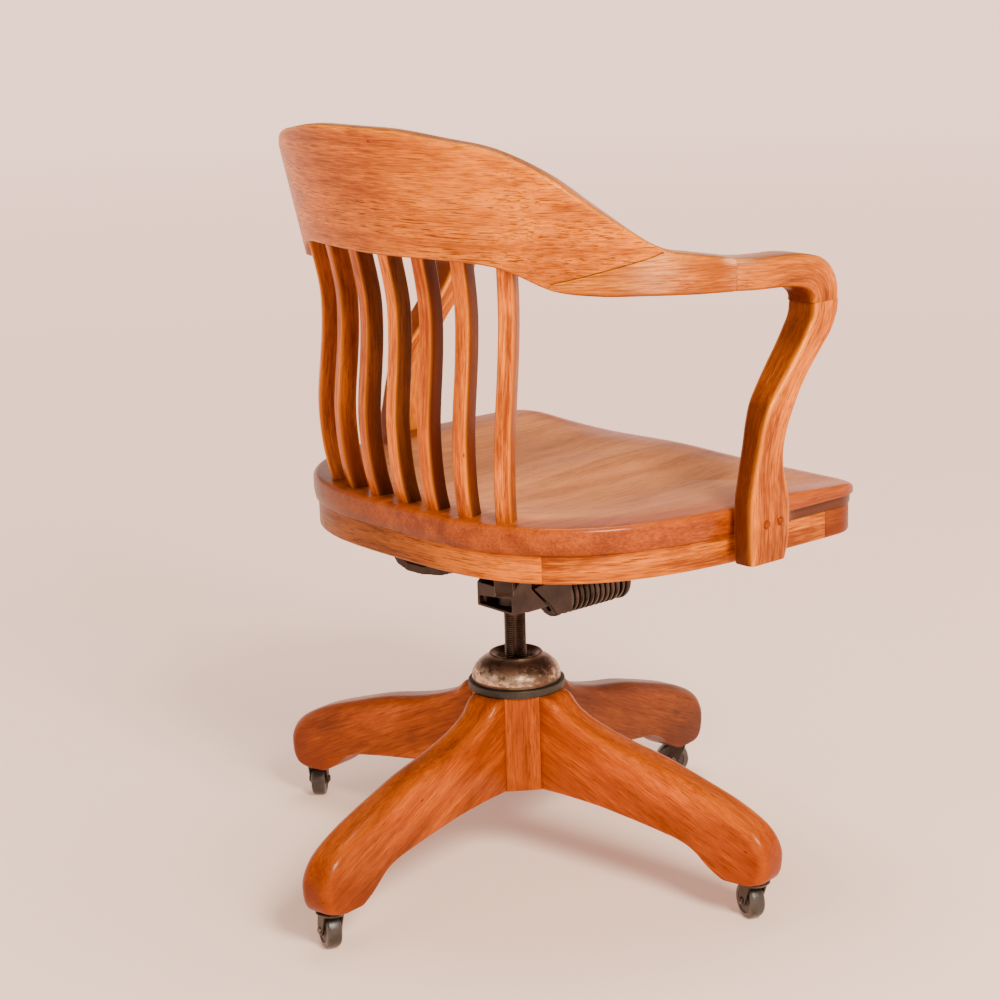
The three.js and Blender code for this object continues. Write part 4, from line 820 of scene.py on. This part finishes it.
bow_top = smooth_curve([(0, 1), (0.108, 0.993), (0.205, 0.945), (0.299, 0.876), (0.39, 0.703),
                        (0.476, 0.455), (0.564, 0.221), (0.608, 0.145), (0.653, 0.114),
                        (0.729, 0.069), (0.821, 0.034), (0.876, 0.028), (0.928, 0), (1, 0)])
bow_foot = smooth_curve([(0, 1), (0.205, 1), (0.299, 0.854), (0.39, 0.342), (0.476, 0.171),
                         (0.564, 0.146), (0.651, 0.11), (0.729, 0.085), (0.821, 0.024),
                         (0.844, 0), (1, 0)])
scarf = smooth_curve([(0.377, 0), (0.389, 0.19), (0.419, 0.297), (0.491, 0.568), (0.554, 0.811),
                      (0.591, 1)])
bow_widen = smooth_curve([(0, 0), (0.3, 0), (0.45, 0.12), (0.6, 0.45), (0.73, 0.85), (0.85, 1),
                          (1, 1)])
bow_lean = smooth_curve([(0, 1), (0.5, 1), (0.62, 0.55), (0.73, 0.1), (0.82, 0), (1, 0)])


def top_at(share):
    return ARM_TOP + (CREST_PEAK - ARM_TOP) * bow_top(share)


def foot_at(share):
    return CREST_EAVE - FOOT_DROP * (1 - bow_foot(share))


def scarf_at(share):
    return SCARF_LOW + (SCARF_HIGH - SCARF_LOW) * scarf(share)


def bow_rails(stations, low, high):
    """Rails along the bow's corners: outer foot, outer top, inner top, inner foot."""
    share = np.abs(stations) / bow.length
    point, normal = bow.at(stations)
    lean = LEAN * bow_lean(share)

    def thick(z):
        rise = np.clip((z - CREST_EAVE) / (CREST_PEAK - CREST_EAVE), 0, 1)
        return blend(blend(CREST_THICK, CREST_THIN, rise), ARM_WIDTH, bow_widen(share))

    def place(inset, z):
        out = lean * (z - LEAN_HEIGHT) - inset
        return at_height(point + normal * out[:, None], z)

    return [place(0, low), place(0, high), place(thick(high), high), place(thick(low), low)]


def bow_grain(rings, stations):
    """Grain that runs round the bow: station, height, and depth through the wood."""
    _, normal = bow.at(stations[:, 0])
    flat = rings[..., :2] - rings[..., :2].mean(1, keepdims=True)
    return np.stack([stations, rings[..., 2], np.einsum("ijk,ik->ij", flat, normal)], 2)


def seam_shade(edge, corners, beside):
    """Dark in the section's given corners where these lie beside the scarf."""
    corner = np.arange(len(edge)) // (len(edge) // 4)
    return 1 - 0.62 * edge * np.isin(corner, corners) * beside


def make_crest():
    share = np.concatenate([
        np.linspace(-SCARF_END, -SCARF_START, 30, endpoint=False),
        np.linspace(-SCARF_START + 0.001, SCARF_START - 0.001, 110),
        np.linspace(SCARF_END, SCARF_START, 30, endpoint=False)[::-1],
    ])
    size = np.abs(share)
    scarfed = size > SCARF_START - 0.0005
    low = np.where(scarfed, scarf_at(size) + SCARF_GAP, foot_at(size))
    rails = bow_rails(share * bow.length, low, top_at(size))
    round_top = np.minimum(6.5, 0.3 * (top_at(size) - low))
    round_foot = np.where(scarfed, 1.0, 4.0)
    radii = [round_foot, round_top, np.minimum(5, round_top), round_foot]
    rings, edge = rounded(rails, radii, 6, roll=1.0)
    at = carried(rings, share)
    z, rise = rings[..., 2], outward(rings)[..., 2]
    # Lighter upwards; darker and redder in a patch on the -X side of the middle; painted shade on
    # the top and under faces, by how much they face up or down.
    tone = 0.9 + 0.1 * ease(z, CREST_EAVE - 10, CREST_EAVE + 40) + 0.1 * ease(z, 815, 846)
    tone -= 0.1 * hump(at, -0.13, 0.09) * hump(z, 790, 34)
    tone *= (1 - 0.55 * ease(rise, 0.6, 0.9)) * (1 - 0.5 * ease(-rise, 0.5, 0.85))
    tone *= seam_shade(edge, (0, 3), np.abs(at) > SCARF_START)
    ruddy = 0.45 * hump(at, -0.15, 0.08) * hump(z, 795, 36)
    skin("crest_board", rings, "crest", "seat", bow_grain(rings, at * bow.length),
         node="crest_rail", edge=edge, tone=tone, ruddy=ruddy)


def make_arm(name, side):
    share = np.concatenate([
        np.linspace(SCARF_START, SCARF_END, 34),
        np.linspace(SCARF_END + 0.002, bow.find(1, ARM_JOINT) / bow.length, 46),
    ])
    scarfed = share <= SCARF_END
    low = foot_at(share)
    high = np.where(scarfed, scarf_at(share) - SCARF_GAP, top_at(share))
    rails = bow_rails(side * share * bow.length, low, high)
    for rail in rails:
        rail[-1, 1] = ARM_JOINT
    round_foot = np.minimum(7.0, 0.3 * (high - low))
    round_top = np.where(scarfed, 1.0, np.minimum(9.0, 0.3 * (high - low)))
    rings, edge = rounded(rails, [round_foot, round_top, round_top, round_foot], 6, roll=0.7)
    at = carried(rings, share)
    rise = outward(rings)[..., 2]
    tone = 0.93 + 0.16 * ease(at, 0.5, 0.62) - 0.08 * ease(at, 0.66, 0.8)
    # Painted shade on the top and under faces, by how much they face up or down.
    tone *= (1 - 0.35 * ease(rise, 0.7, 0.95)) * (1 - 0.4 * ease(-rise, 0.5, 0.85))
    tone *= seam_shade(edge, (1, 2), at <= SCARF_END)
    # A pale patch on top at the front end and on the sides near the scarf: partly wear, partly a
    # painted highlight.
    bare = 0.6 * hump(at, share[-1], 0.022) * ease(rise, -0.2, 0.5)
    bare += 0.3 * hump(at, 0.57, 0.05) * (1 - np.abs(rise))
    ruddy = 0.5 * hump(at, 0.69, 0.035)
    skin(name + "_rail", rings, "arm", "seat", bow_grain(rings, side * at * bow.length),
         edge=edge, tone=tone, worn=bare, ruddy=ruddy)


CORNER_OUTER = [(0, 1), (0.213, 0.933), (0.413, 0.908), (0.593, 0.893), (0.747, 0.833),
                (0.867, 0.733), (0.953, 0.533), (0.997, 0.267), (1, 0)]
CORNER_INNER = [(0, 0.417), (0.187, 0.383), (0.347, 0.367), (0.467, 0.35), (0.56, 0.325),
                (0.64, 0.275), (0.693, 0.195), (0.722, 0.1), (0.72, 0)]
POST_BACK = [(0.71, 1), (0.695, 0.947), (0.65, 0.905), (0.562, 0.837), (0.431, 0.753),
             (0.314, 0.684), (0.212, 0.62), (0.146, 0.548), (0.109, 0.479), (0.073, 0.411),
             (0.036, 0.331), (0.007, 0.259), (0, 0.156), (0, 0.061), (0.007, 0)]
POST_FRONT = [(1, 1), (0.985, 0.947), (0.92, 0.878), (0.81, 0.814), (0.686, 0.745),
              (0.584, 0.673), (0.511, 0.608), (0.453, 0.548), (0.409, 0.487), (0.387, 0.418),
              (0.401, 0.338), (0.445, 0.259), (0.453, 0.175), (0.438, 0.072), (0.401, 0)]
post_inner = smooth_curve([(0, 0), (0.3, 0.05), (0.53, 0.25), (0.69, 0.8), (0.8, 1), (1, 1)])


def refine(rows, count):
    """Rows of shares, filled in smoothly to a count of rows."""
    at = np.linspace(0, len(rows) - 1, count)
    columns = [smooth_curve(list(enumerate(column)))(at) for column in zip(*rows)]
    return np.stack(columns, 1)


def face_x(y):
    """The bow's half width at a y of its plan."""
    rise = np.clip(y - BOW_SPRING, 0, None) / (BOW_BACK - BOW_SPRING)
    return BOW_HALF * (1 - rise ** BOW_POWER) ** (1 / BOW_POWER)


def side_view(first, second, count, rear, foot, high):
    """Two outlines of (y, z) points, from rows of shares of a piece's depth and height."""
    return [
        np.column_stack([blend(rear, ARM_FRONT, rows[:, 0]), foot + high * rows[:, 1]])
        for rows in (refine(first, count), refine(second, count))
    ]


def side_rails(side, outer, inner, thick, follow_bow):
    """Rails from two outlines of (y, z) points, for a piece whose outside is the bow's."""
    def place(outline, depth):
        face = face_x(outline[:, 0]) if follow_bow else np.full(len(outline), BOW_HALF)
        return np.column_stack([side * (face - depth), outline])

    return [place(outer, 0), place(outer, thick), place(inner, thick), place(inner, 0)]


def make_corner(name, side):
    count = 56
    progress = np.linspace(0, 1, count)
    pair = side_view(CORNER_OUTER, CORNER_INNER, count, ARM_JOINT + 0.1, POST_TOP, CORNER_HIGH)
    thick = blend(ARM_WIDTH, POST_THICK, ease(progress, 0.3, 1))
    rings, edge = rounded(side_rails(side, *pair, thick, True), [9, 9, 7, 7], 6, roll=0.7)
    at = carried(rings, progress)
    out = outward(rings)
    # Painted shade on faces that look back and down, redder there, and on the top faces; the pale
    # patch on top at the arm joint is partly wear, partly a painted highlight.
    under = ease(out[..., 1] - 0.6 * out[..., 2], 0.45, 0.8)
    tone = 0.7 + 0.1 * ease(at, 0.3, 0.6) * (1 - ease(at, 0.8, 1))
    tone *= (1 - 0.5 * under) * (1 - 0.3 * ease(out[..., 2], 0.7, 0.95))
    bare = 0.6 * hump(at, 0, 0.1) * ease(out[..., 2], -0.2, 0.5)
    skin(name + "_bend", rings, "oak", "seat", sharp=50, edge=edge, tone=tone, worn=bare,
         ruddy=0.8 * under)


def make_post(name, side):
    high = POST_TOP + 0.5 - POST_FOOT
    pair = side_view(POST_FRONT, POST_BACK, 80, POST_REAR, POST_FOOT, high)
    middle = ((pair[0] + pair[1])[:, 1] / 2 - POST_FOOT) / high
    thick = blend(POST_FOOT_THICK, POST_THICK, post_inner(middle))
    rings, edge = rounded(side_rails(side, *pair, thick, False), [7, 7, 6.5, 6.5], 6, roll=1.2)
    # Painted shade on the rear-facing faces, redder there; a painted highlight along the rounded
    # corners (edge * 2.5); a little darker towards the foot.
    painted_shade_behind = ease(outward(rings)[..., 1], 0.55, 0.85)
    low = 0.88 + 0.12 * ease(rings[..., 2], 392, 470)
    skin(name + "_blade", rings, "oak", "seat", edge=edge * 2.5,
         tone=low * (1 - 0.66 * painted_shade_behind), ruddy=0.75 * painted_shade_behind)


def make_post_plug(name, side, y):
    face = BOW_HALF
    profile = [(0, face - 45), (2.2, face - 45), (2.2, face - 4), (4.7, face - 4), (4.7, face)]
    for turn in np.linspace(0.15, 1, 5) * math.pi / 2:
        profile.append((4.7 * math.cos(turn), face + 3 * math.sin(turn)))
    profile[-1] = (0, face + 3)
    turned_piece(name + "_plug", profile, "leg", "seat", (0, y, POST_SCREW_Z), (side, 0, 0), 32,
                 tone=0.75)


def make_arms():
    for word, side in (("left", 1), ("right", -1)):
        make_arm("arm_" + word, side)
        make_corner("arm_corner_" + word, side)
        make_post("arm_post_" + word, side)
        for i, y in enumerate(POST_SCREW_Y):
            make_post_plug(f"post_screw_{word}_{i + 1}", side, y)


# Slats

SLAT_WIDE, SLAT_DEEP, SLAT_SWAY, SLAT_INSET = 18.5, 21, 7.5, 16
FOOT_SPACING, HEAD_SPACING = 47.9, 54.1
SLAT_RUDDY = (0, 0.3, 0.4, 0, 0.35, 0.2, 0)
SLAT_SHADOW = (0.4, 0.68, 0.76, 0.8, 0.76, 0.55, 0.45)
slat_sway = smooth_curve([(0, 0), (0.08, 0.6), (0.16, 0.9), (0.25, 1), (0.34, 0.88), (0.43, 0.45),
                          (0.52, -0.08), (0.62, -0.6), (0.72, -0.92), (0.8, -0.96), (0.89, -0.62),
                          (1, 0)])


def make_slat(number):
    step = number - 4
    side = -1 if step < 0 else 1
    foot = side * seat_edge.find(0, abs(step) * FOOT_SPACING, SLAT_INSET)
    head_inset = 12 - 9 * (step / 3) ** 2
    head = side * bow.find(0, abs(step) * HEAD_SPACING, head_inset)
    foot_point, _ = seat_edge.at(foot, SLAT_INSET + SLAT_DEEP / 2)
    head_point, head_normal = bow.at(head, head_inset + SLAT_DEEP / 2)
    heading = 1.2 * math.atan2(head_normal[0, 0], head_normal[0, 1])
    normal = np.array([math.sin(heading), math.cos(heading)])
    along = np.array([-normal[1], normal[0]])
    share = np.linspace(0, 1, 60)
    centre = blend(foot_point, head_point, share[:, None])
    centre = centre + normal * (SLAT_SWAY * slat_sway(share))[:, None]
    across, deep = along * SLAT_WIDE / 2, normal * SLAT_DEEP / 2
    z = blend(SEAT_TOP - 0.3, float(foot_at(abs(head) / bow.length)) + 2, share)
    rails = [at_height(centre + across * u + deep * v, z)
             for u, v in ((1, 1), (-1, 1), (-1, -1), (1, -1))]
    rings, edge = rounded(rails, [3.6, 3.6, 3.2, 3.2])
    # Painted shadow on the slats' flanks, by SLAT_SHADOW, with a redder tint there; a painted
    # highlight along the rounded corners (edge * 2); a little darker where the slat meets the
    # seat.
    flank = ease(np.abs(outward(rings)[..., :2] @ along), 0.4, 0.75)
    low = 1 + 0.16 * ease(rings[..., 2], SEAT_TOP, SEAT_TOP + 40)
    skin(f"slat_{number}_blade", rings, "oak", "seat", edge=edge * 2,
         tone=low * (1 - SLAT_SHADOW[number - 1] * flank),
         ruddy=SLAT_RUDDY[number - 1] + 0.6 * flank)


# Column

RING_FOOT = 204.5
RING_TOP = RING_FOOT + 8.8
SPINDLE_RADIUS, SPINDLE_FOOT, THREAD_TOP, SPINDLE_TOP, JOURNAL_RADIUS = 12.3, 100, 297, 333, 10
THREAD_PITCH, THREAD_DEEP, KEY_HALF, KEY_DEEP, KEY_TURN = 2.54, 1.4, 2.6, 3.2, math.radians(140)
BELL_RADIUS, BELL_NECK, BELL_FOOT, BELL_TOP, BELL_BORE = 50.2, 20.4, 204.8, 244, 12.9


def make_spindle():
    """A keyed screw: a thread of a tenth of an inch, two keyways and a plain journal."""
    key_edge = math.asin(KEY_HALF / SPINDLE_RADIUS)
    angles = []
    for turn in (KEY_TURN, KEY_TURN + math.pi):
        angles += [turn + key_edge * t for t in (-1, -0.99, -0.5, 0, 0.5, 0.99, 1)]
        angles += list(np.linspace(turn + key_edge, turn + math.pi - key_edge, 30)[1:-1])
    angles = np.array(angles)
    off_key = (angles - KEY_TURN + math.pi / 2) % math.pi - math.pi / 2
    in_key = np.abs(off_key) < key_edge * 0.995
    key_floor = (SPINDLE_RADIUS - KEY_DEEP) / np.cos(off_key)
    plain = 0 * angles
    rings = [at_height((SPINDLE_RADIUS - 2.2) * circle(angles), SPINDLE_FOOT)]
    edges = [plain]
    for z in np.arange(SPINDLE_FOOT + 1, THREAD_TOP - 0.6, THREAD_PITCH / 5):
        climb = (z / THREAD_PITCH - angles / (2 * math.pi)) % 1
        crest = np.clip(1.5 - np.abs(climb - 0.5) * 4.4, 0, 1)
        radius = SPINDLE_RADIUS - THREAD_DEEP * (1 - crest)
        radius = np.where(in_key, np.minimum(radius, key_floor), radius)
        rings.append(at_height(radius[:, None] * circle(angles), z))
        edges.append(np.where(in_key, 0, crest))
    for radius, z in ((SPINDLE_RADIUS - 0.6, THREAD_TOP), (JOURNAL_RADIUS, THREAD_TOP),
                      (JOURNAL_RADIUS, SPINDLE_TOP - 0.5), (JOURNAL_RADIUS - 0.5, SPINDLE_TOP)):
        rings.append(at_height(radius * circle(angles), z))
        edges.append(plain)
    rings = np.array(rings)
    skin("spindle_screw", rings, "steel", "screw", rings[..., [2, 0, 1]], 24,
         edge=np.array(edges))


def make_bell():
    foot = RING_TOP + 0.3
    shoulder = foot + 3
    dome = smooth_curve([(0, 0), (0.13, 0.015), (0.27, 0.07), (0.45, 0.2), (0.62, 0.42),
                         (0.74, 0.64), (0.82, 0.83), (0.89, 0.93), (1, 1)])
    profile = [(BELL_BORE, BELL_FOOT), (29.4, BELL_FOOT), (29.4, foot), (BELL_RADIUS - 0.6, foot),
               (BELL_RADIUS, foot + 0.6), (BELL_RADIUS, shoulder - 0.4)]
    for rise in np.linspace(0, 0.97, 18):
        profile.append((BELL_RADIUS - BELL_NECK * dome(rise), blend(shoulder, BELL_TOP, rise)))
    profile += [(29.9, 243.5), (29.0, BELL_TOP), (27.2, 243.9), (24.5, 242.6), (21.5, 240),
                (19, 236), (18, 232), (BELL_BORE, 232)]
    turned_piece("bell_nut_cup", profile, "bell", "bell")
    turn = math.radians(121.7)
    out = Vector((math.cos(turn), math.sin(turn), 0.12)).normalized()
    at = (46.6 * math.cos(turn), 46.6 * math.sin(turn), 226)
    turned_piece("bell_set_screw", [(0, -2), (2.3, -2), (2.3, 1.6), (1.9, 2.1), (0, 2.2)], "steel",
                 "bell", at, tuple(out), 24, edge=1, node="")


def make_column():
    make_spindle()
    make_bell()
    profile = soften([(30, RING_FOOT), (30.01, RING_FOOT), (54.5, RING_FOOT), (54.5, RING_TOP),
                      (30, RING_TOP), (30, RING_FOOT + 0.01)], 1.3)
    turned_piece("hub_ring_plate", profile, "ring", "base")
    cast_copy("hub_block", "leg", "base", 1.0, 2)


# Legs and casters

LEG_WIDE, LEG_FOOT, LEG_ROOT, LEG_REACH, HUB_TOP = 43, 45.5, 49.2, 345, 204.2
LEG_TURN, LEG_SLOPE = math.radians(10.23), math.radians(-24)
CASTER_CIRCLE, TRAIL, WHEEL = 318, 9, 20
LEG_TOP_RAIL = [(0, 1), (0.044, 0.988), (0.085, 0.929), (0.126, 0.882), (0.177, 0.841),
                (0.262, 0.79), (0.354, 0.749), (0.493, 0.695), (0.626, 0.623), (0.759, 0.544),
                (0.847, 0.48), (0.929, 0.398), (0.973, 0.322), (0.997, 0.234), (1, 0.158),
                (0.993, 0.076), (0.976, 0.025), (0.946, 0)]
LEG_FOOT_RAIL = [(0, 0.31), (0.031, 0.31), (0.065, 0.31), (0.099, 0.309), (0.15, 0.305),
                 (0.259, 0.294), (0.337, 0.278), (0.456, 0.25), (0.558, 0.221), (0.616, 0.202),
                 (0.667, 0.171), (0.704, 0.13), (0.735, 0.082), (0.762, 0.047), (0.782, 0.025),
                 (0.796, 0.013), (0.806, 0.004), (0.82, 0)]


def spin(points, turn, at=(0, 0, 0)):
    """Points turned about the upright axis, then moved."""
    cos, sin = math.cos(turn), math.sin(turn)
    points = np.asarray(points, float)
    x, y = points[..., 0], points[..., 1]
    return np.stack([x * cos - y * sin, x * sin + y * cos, points[..., 2]], -1) + np.array(at)


def make_leg(name, turn, depth):
    count = 110
    progress = np.linspace(0, 1, count)
    half = LEG_WIDE / 2

    def place(rows, y):
        rows = refine(rows, count)
        return np.column_stack([blend(LEG_ROOT, LEG_REACH, rows[:, 0]), np.full(count, y),
                                blend(LEG_FOOT, HUB_TOP, rows[:, 1])])

    rails = [place(LEG_TOP_RAIL, half), place(LEG_TOP_RAIL, -half), place(LEG_FOOT_RAIL, -half),
             place(LEG_FOOT_RAIL, half)]
    soft = 3 + 10 * ease(progress, 0.0, 0.12)
    rings, edge = rounded(rails, [soft, soft, 3.5, 3.5], 7, roll=0.8)
    at = carried(rings, progress)
    x, y, z = np.moveaxis(rings, -1, 0)
    along = x * math.cos(LEG_SLOPE) + z * math.sin(LEG_SLOPE)
    rise = z * math.cos(LEG_SLOPE) - x * math.sin(LEG_SLOPE)
    high = rise - rise.mean(1, keepdims=True)
    upper = ease(high, -6, 12) * (1 - ease(high, 16, 30))
    # Painted light: depth is each leg's brightness from how light falls on it, and golden lightens
    # a band below the upper arris as a painted highlight; a little darker at the hub end; redder
    # at the toe and at the hub end; edge * 0.6 is a painted highlight on the rounded corners.
    golden = 1 + 0.8 * ease(at, 0.1, 0.25) * (1 - ease(at, 0.4, 0.62))
    tone = depth * (0.86 + 0.14 * ease(at, 0.02, 0.2)) * blend(1, golden, upper)
    toe = 0.75 * ease(at, 0.6, 0.78) + 0.3 * (at < 0.02)
    skin(name + "_limb", spin(rings, turn), "leg", "base", np.stack([along, y, rise], 2),
         edge=edge * 0.6, tone=tone, ruddy=toe)


def make_caster(word, turn, trail):
    stand = (CASTER_CIRCLE * math.cos(turn), CASTER_CIRCLE * math.sin(turn), 0)
    plate = LEG_FOOT - 2.8
    turned_piece(f"caster_socket_{word}_cup", [
        (0, 77), (4, 77), (4, plate), (16.6, plate), (17, plate + 0.5), (17, plate + 1.7),
        (16, plate + 2.5), (5.5, plate + 2.5), (5.5, 79), (5, 79.5), (0, 79.5),
    ], "caster", "base", stand, sides=48, edge=[0, 0, 1, 1, 1, 1, 0, 0, 0])
    cast_copy(f"caster_fork_{word}", "caster", f"caster_{word}", 0.55, 2)
    hub = tuple(spin((TRAIL, 0, WHEEL), trail, stand))
    across = tuple(spin((0, -1, 0), trail))
    rubbed = [0, 0, 0, 0, 1, 1, 1, 0.5, 0.3]
    turned_piece(f"caster_wheel_{word}_tread", mirrored([
        (3.1, -8.2), (7.4, -8.2), (8, -7.2), (13.6, -7.2), (14.4, -8.2), (17, -8.2), (18.6, -7.6),
        (19.6, -6.3), (20, -4.5),
    ]), "wheel", f"wheel_{word}", hub, across, 64, rubbed + rubbed[::-1])
    turned_piece(f"caster_axle_{word}_pin", mirrored([
        (0, -13.2), (3, -13.2), (4.1, -12.6), (4.2, -11.7), (2.8, -11.7),
    ]), "steel", f"caster_{word}", hub, across, 32, [1, 1, 1, 0, 0, 1, 1, 1])


def make_base():
    # The last number in each row is the leg's painted light: the front leg darkened as a painted
    # shadow of the seat, the right leg lightened.
    for word, quarter, trail, depth in (("left", 0, -45, 1.0), ("rear", 1, -18.4, 0.95),
                                        ("right", 2, -18.4, 1.28), ("front", 3, 49.6, 0.48)):
        turn = LEG_TURN + quarter * math.pi / 2
        make_leg("leg_" + word, turn, depth)
        make_caster(word, turn, math.radians(trail))


# Yoke, seat iron and tilt spring

BOLT_Z, SPRING_RADIUS, SPRING_WIRE, SPRING_TURNS = 297, 24, 6, 10
LUG_FRONT, SPRING_END, SPRING_KEEP = -60, -146, 0.77
AXLE_Y, AXLE_Z = -30, 352


def make_spring():
    wire = SPRING_WIRE / 2
    mean = SPRING_RADIUS - wire
    turn = np.linspace(0, SPRING_TURNS * 2 * math.pi, SPRING_TURNS * 40 + 1)
    y = np.linspace(LUG_FRONT - 0.3 - wire, SPRING_END + 0.3 + wire, len(turn))
    out = np.column_stack([np.cos(turn), 0 * turn, np.sin(turn)])
    centre = mean * out + np.column_stack([0 * turn, y, 0 * turn + BOLT_Z])
    side = np.cross(out, unit(np.gradient(centre, axis=0)))
    angles = np.linspace(0, 2 * math.pi, 14, endpoint=False)
    rings = np.stack([
        centre + wire * (out * math.cos(angle) + side * math.sin(angle)) for angle in angles
    ], 1)
    # The edge value lightens the outer side of the coil: a painted highlight along the wire.
    piece = skin("tilt_spring_coil", rings, "spring", "yoke",
                 edge=np.clip(np.cos(angles), 0, 1))
    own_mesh(piece)


def along_bolt(name, profile, look, body, y, edge=0.0):
    turned_piece(name, profile, look, body, (0, y, BOLT_Z), (0, -1, 0), 72, edge)


def make_tilt():
    cast_copy("yoke", "iron", "yoke", 0.9)
    cast_copy("seat_iron", "iron", "seat", 1.1)
    make_spring()
    turned_piece("tilt_axle_pin", mirrored([(0, -34), (5.4, -34), (6, -33.4)]), "steel", "yoke",
                 (0, AXLE_Y, AXLE_Z), (1, 0, 0), 40, edge=1)
    along_bolt("spring_cap_dish", [(5.3, 0), (22.4, 0), (23, 0.7), (23, 3.2), (22.4, 4.1),
                                   (20.4, 5.7), (19, 6), (5.3, 6)],
               "spring", "yoke", SPRING_END, edge=[0, 1, 1, 1, 1, 1, 0, 0])
    along_bolt("tension_knob_grip", [(5.3, 0), (22.6, 0), (23.8, 1), (24, 2.4), (24, 4.6),
                                     (23.4, 6.3), (21.4, 7.8), (14, 9), (5.3, 9)],
               "iron", "knob", SPRING_END - 6.3)


# Floor and far wall

def lay_stage(name, points, faces, paper):
    """A surface that only surrounds the chair."""
    mesh = bpy.data.meshes.new(name)
    mesh.from_pydata(points, [], faces)
    mesh.shade_smooth()
    mesh.materials.append(paper.material)
    put(name, mesh)


def make_floor():
    """A wide floor that glows more the farther off it is, to come near the wall's tone."""
    paper = Shader("floor_paper", Roughness=0.8, Emission_Strength=1.0, Specular_IOR_Level=0.0)
    place = paper.place()
    cloud = paper.noise(place, (1.5, 1.5, 1.5), 3.0)
    away = paper.node("ShaderNodeVectorMath", {0: place}, output="Value", operation="LENGTH")
    paper.finish(
        Base_Color=paper.ramp(cloud, [(0.2, (0.88, 0.67, 0.56)), (0.8, (0.91, 0.7, 0.59))]),
        Emission_Color=paper.ramp(away / 10, [
            (0.03, (0.3, 0.17, 0.12)), (0.14, (0.75, 0.43, 0.32)),
            (0.4, (1.45, 0.88, 0.69)), (0.9, (1.9, 1.18, 0.94)),
        ]),
    )
    reach = 70
    corners = [(-reach, -reach, 0), (reach, -reach, 0), (reach, reach, 0), (-reach, reach, 0)]
    lay_stage("floor", corners, [(0, 1, 2, 3)], paper)


def make_backdrop():
    """A low pale wall a long way off, so that no horizon shows in level views."""
    paper = Shader("backdrop_paper", Roughness=1.0, Emission_Strength=1.0,
                   Base_Color=(0, 0, 0, 1), Specular_IOR_Level=0.0)
    shade = paper.noise(paper.place(), (0.05, 0.05, 0.05), 2.0)
    paper.finish(Emission_Color=paper.ramp(shade, [(0.2, (2.5, 1.56, 1.24)),
                                                   (0.8, (2.56, 1.61, 1.28))]))
    away, high, sides = 60, 14, 64
    ring = away * circle(np.linspace(0, 2 * math.pi, sides, endpoint=False))
    points = np.concatenate([at_height(ring, -0.5), at_height(ring, high)])
    faces = [(i, sides + i, sides + (i + 1) % sides, (i + 1) % sides) for i in range(sides)]
    lay_stage("backdrop", points.tolist(), faces, paper)


KEPT = ("hub_sleeve", "spindle_collar", "tension_bolt", "iron_screw_1", "iron_screw_2",
        "iron_screw_3", "iron_screw_4")


def finish_kept():
    """Steel for the small parts that stay in the CAD's own shape."""
    for name in KEPT:
        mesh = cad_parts[name].data
        mesh.materials.clear()
        mesh.materials.append(finishes["steel"])


place_camera()
light_room()
make_floor()
make_backdrop()
make_seat_board()
make_aprons()
make_crest()
make_arms()
for number in range(1, 8):
    make_slat(number)
make_column()
make_base()
make_tilt()
finish_kept()
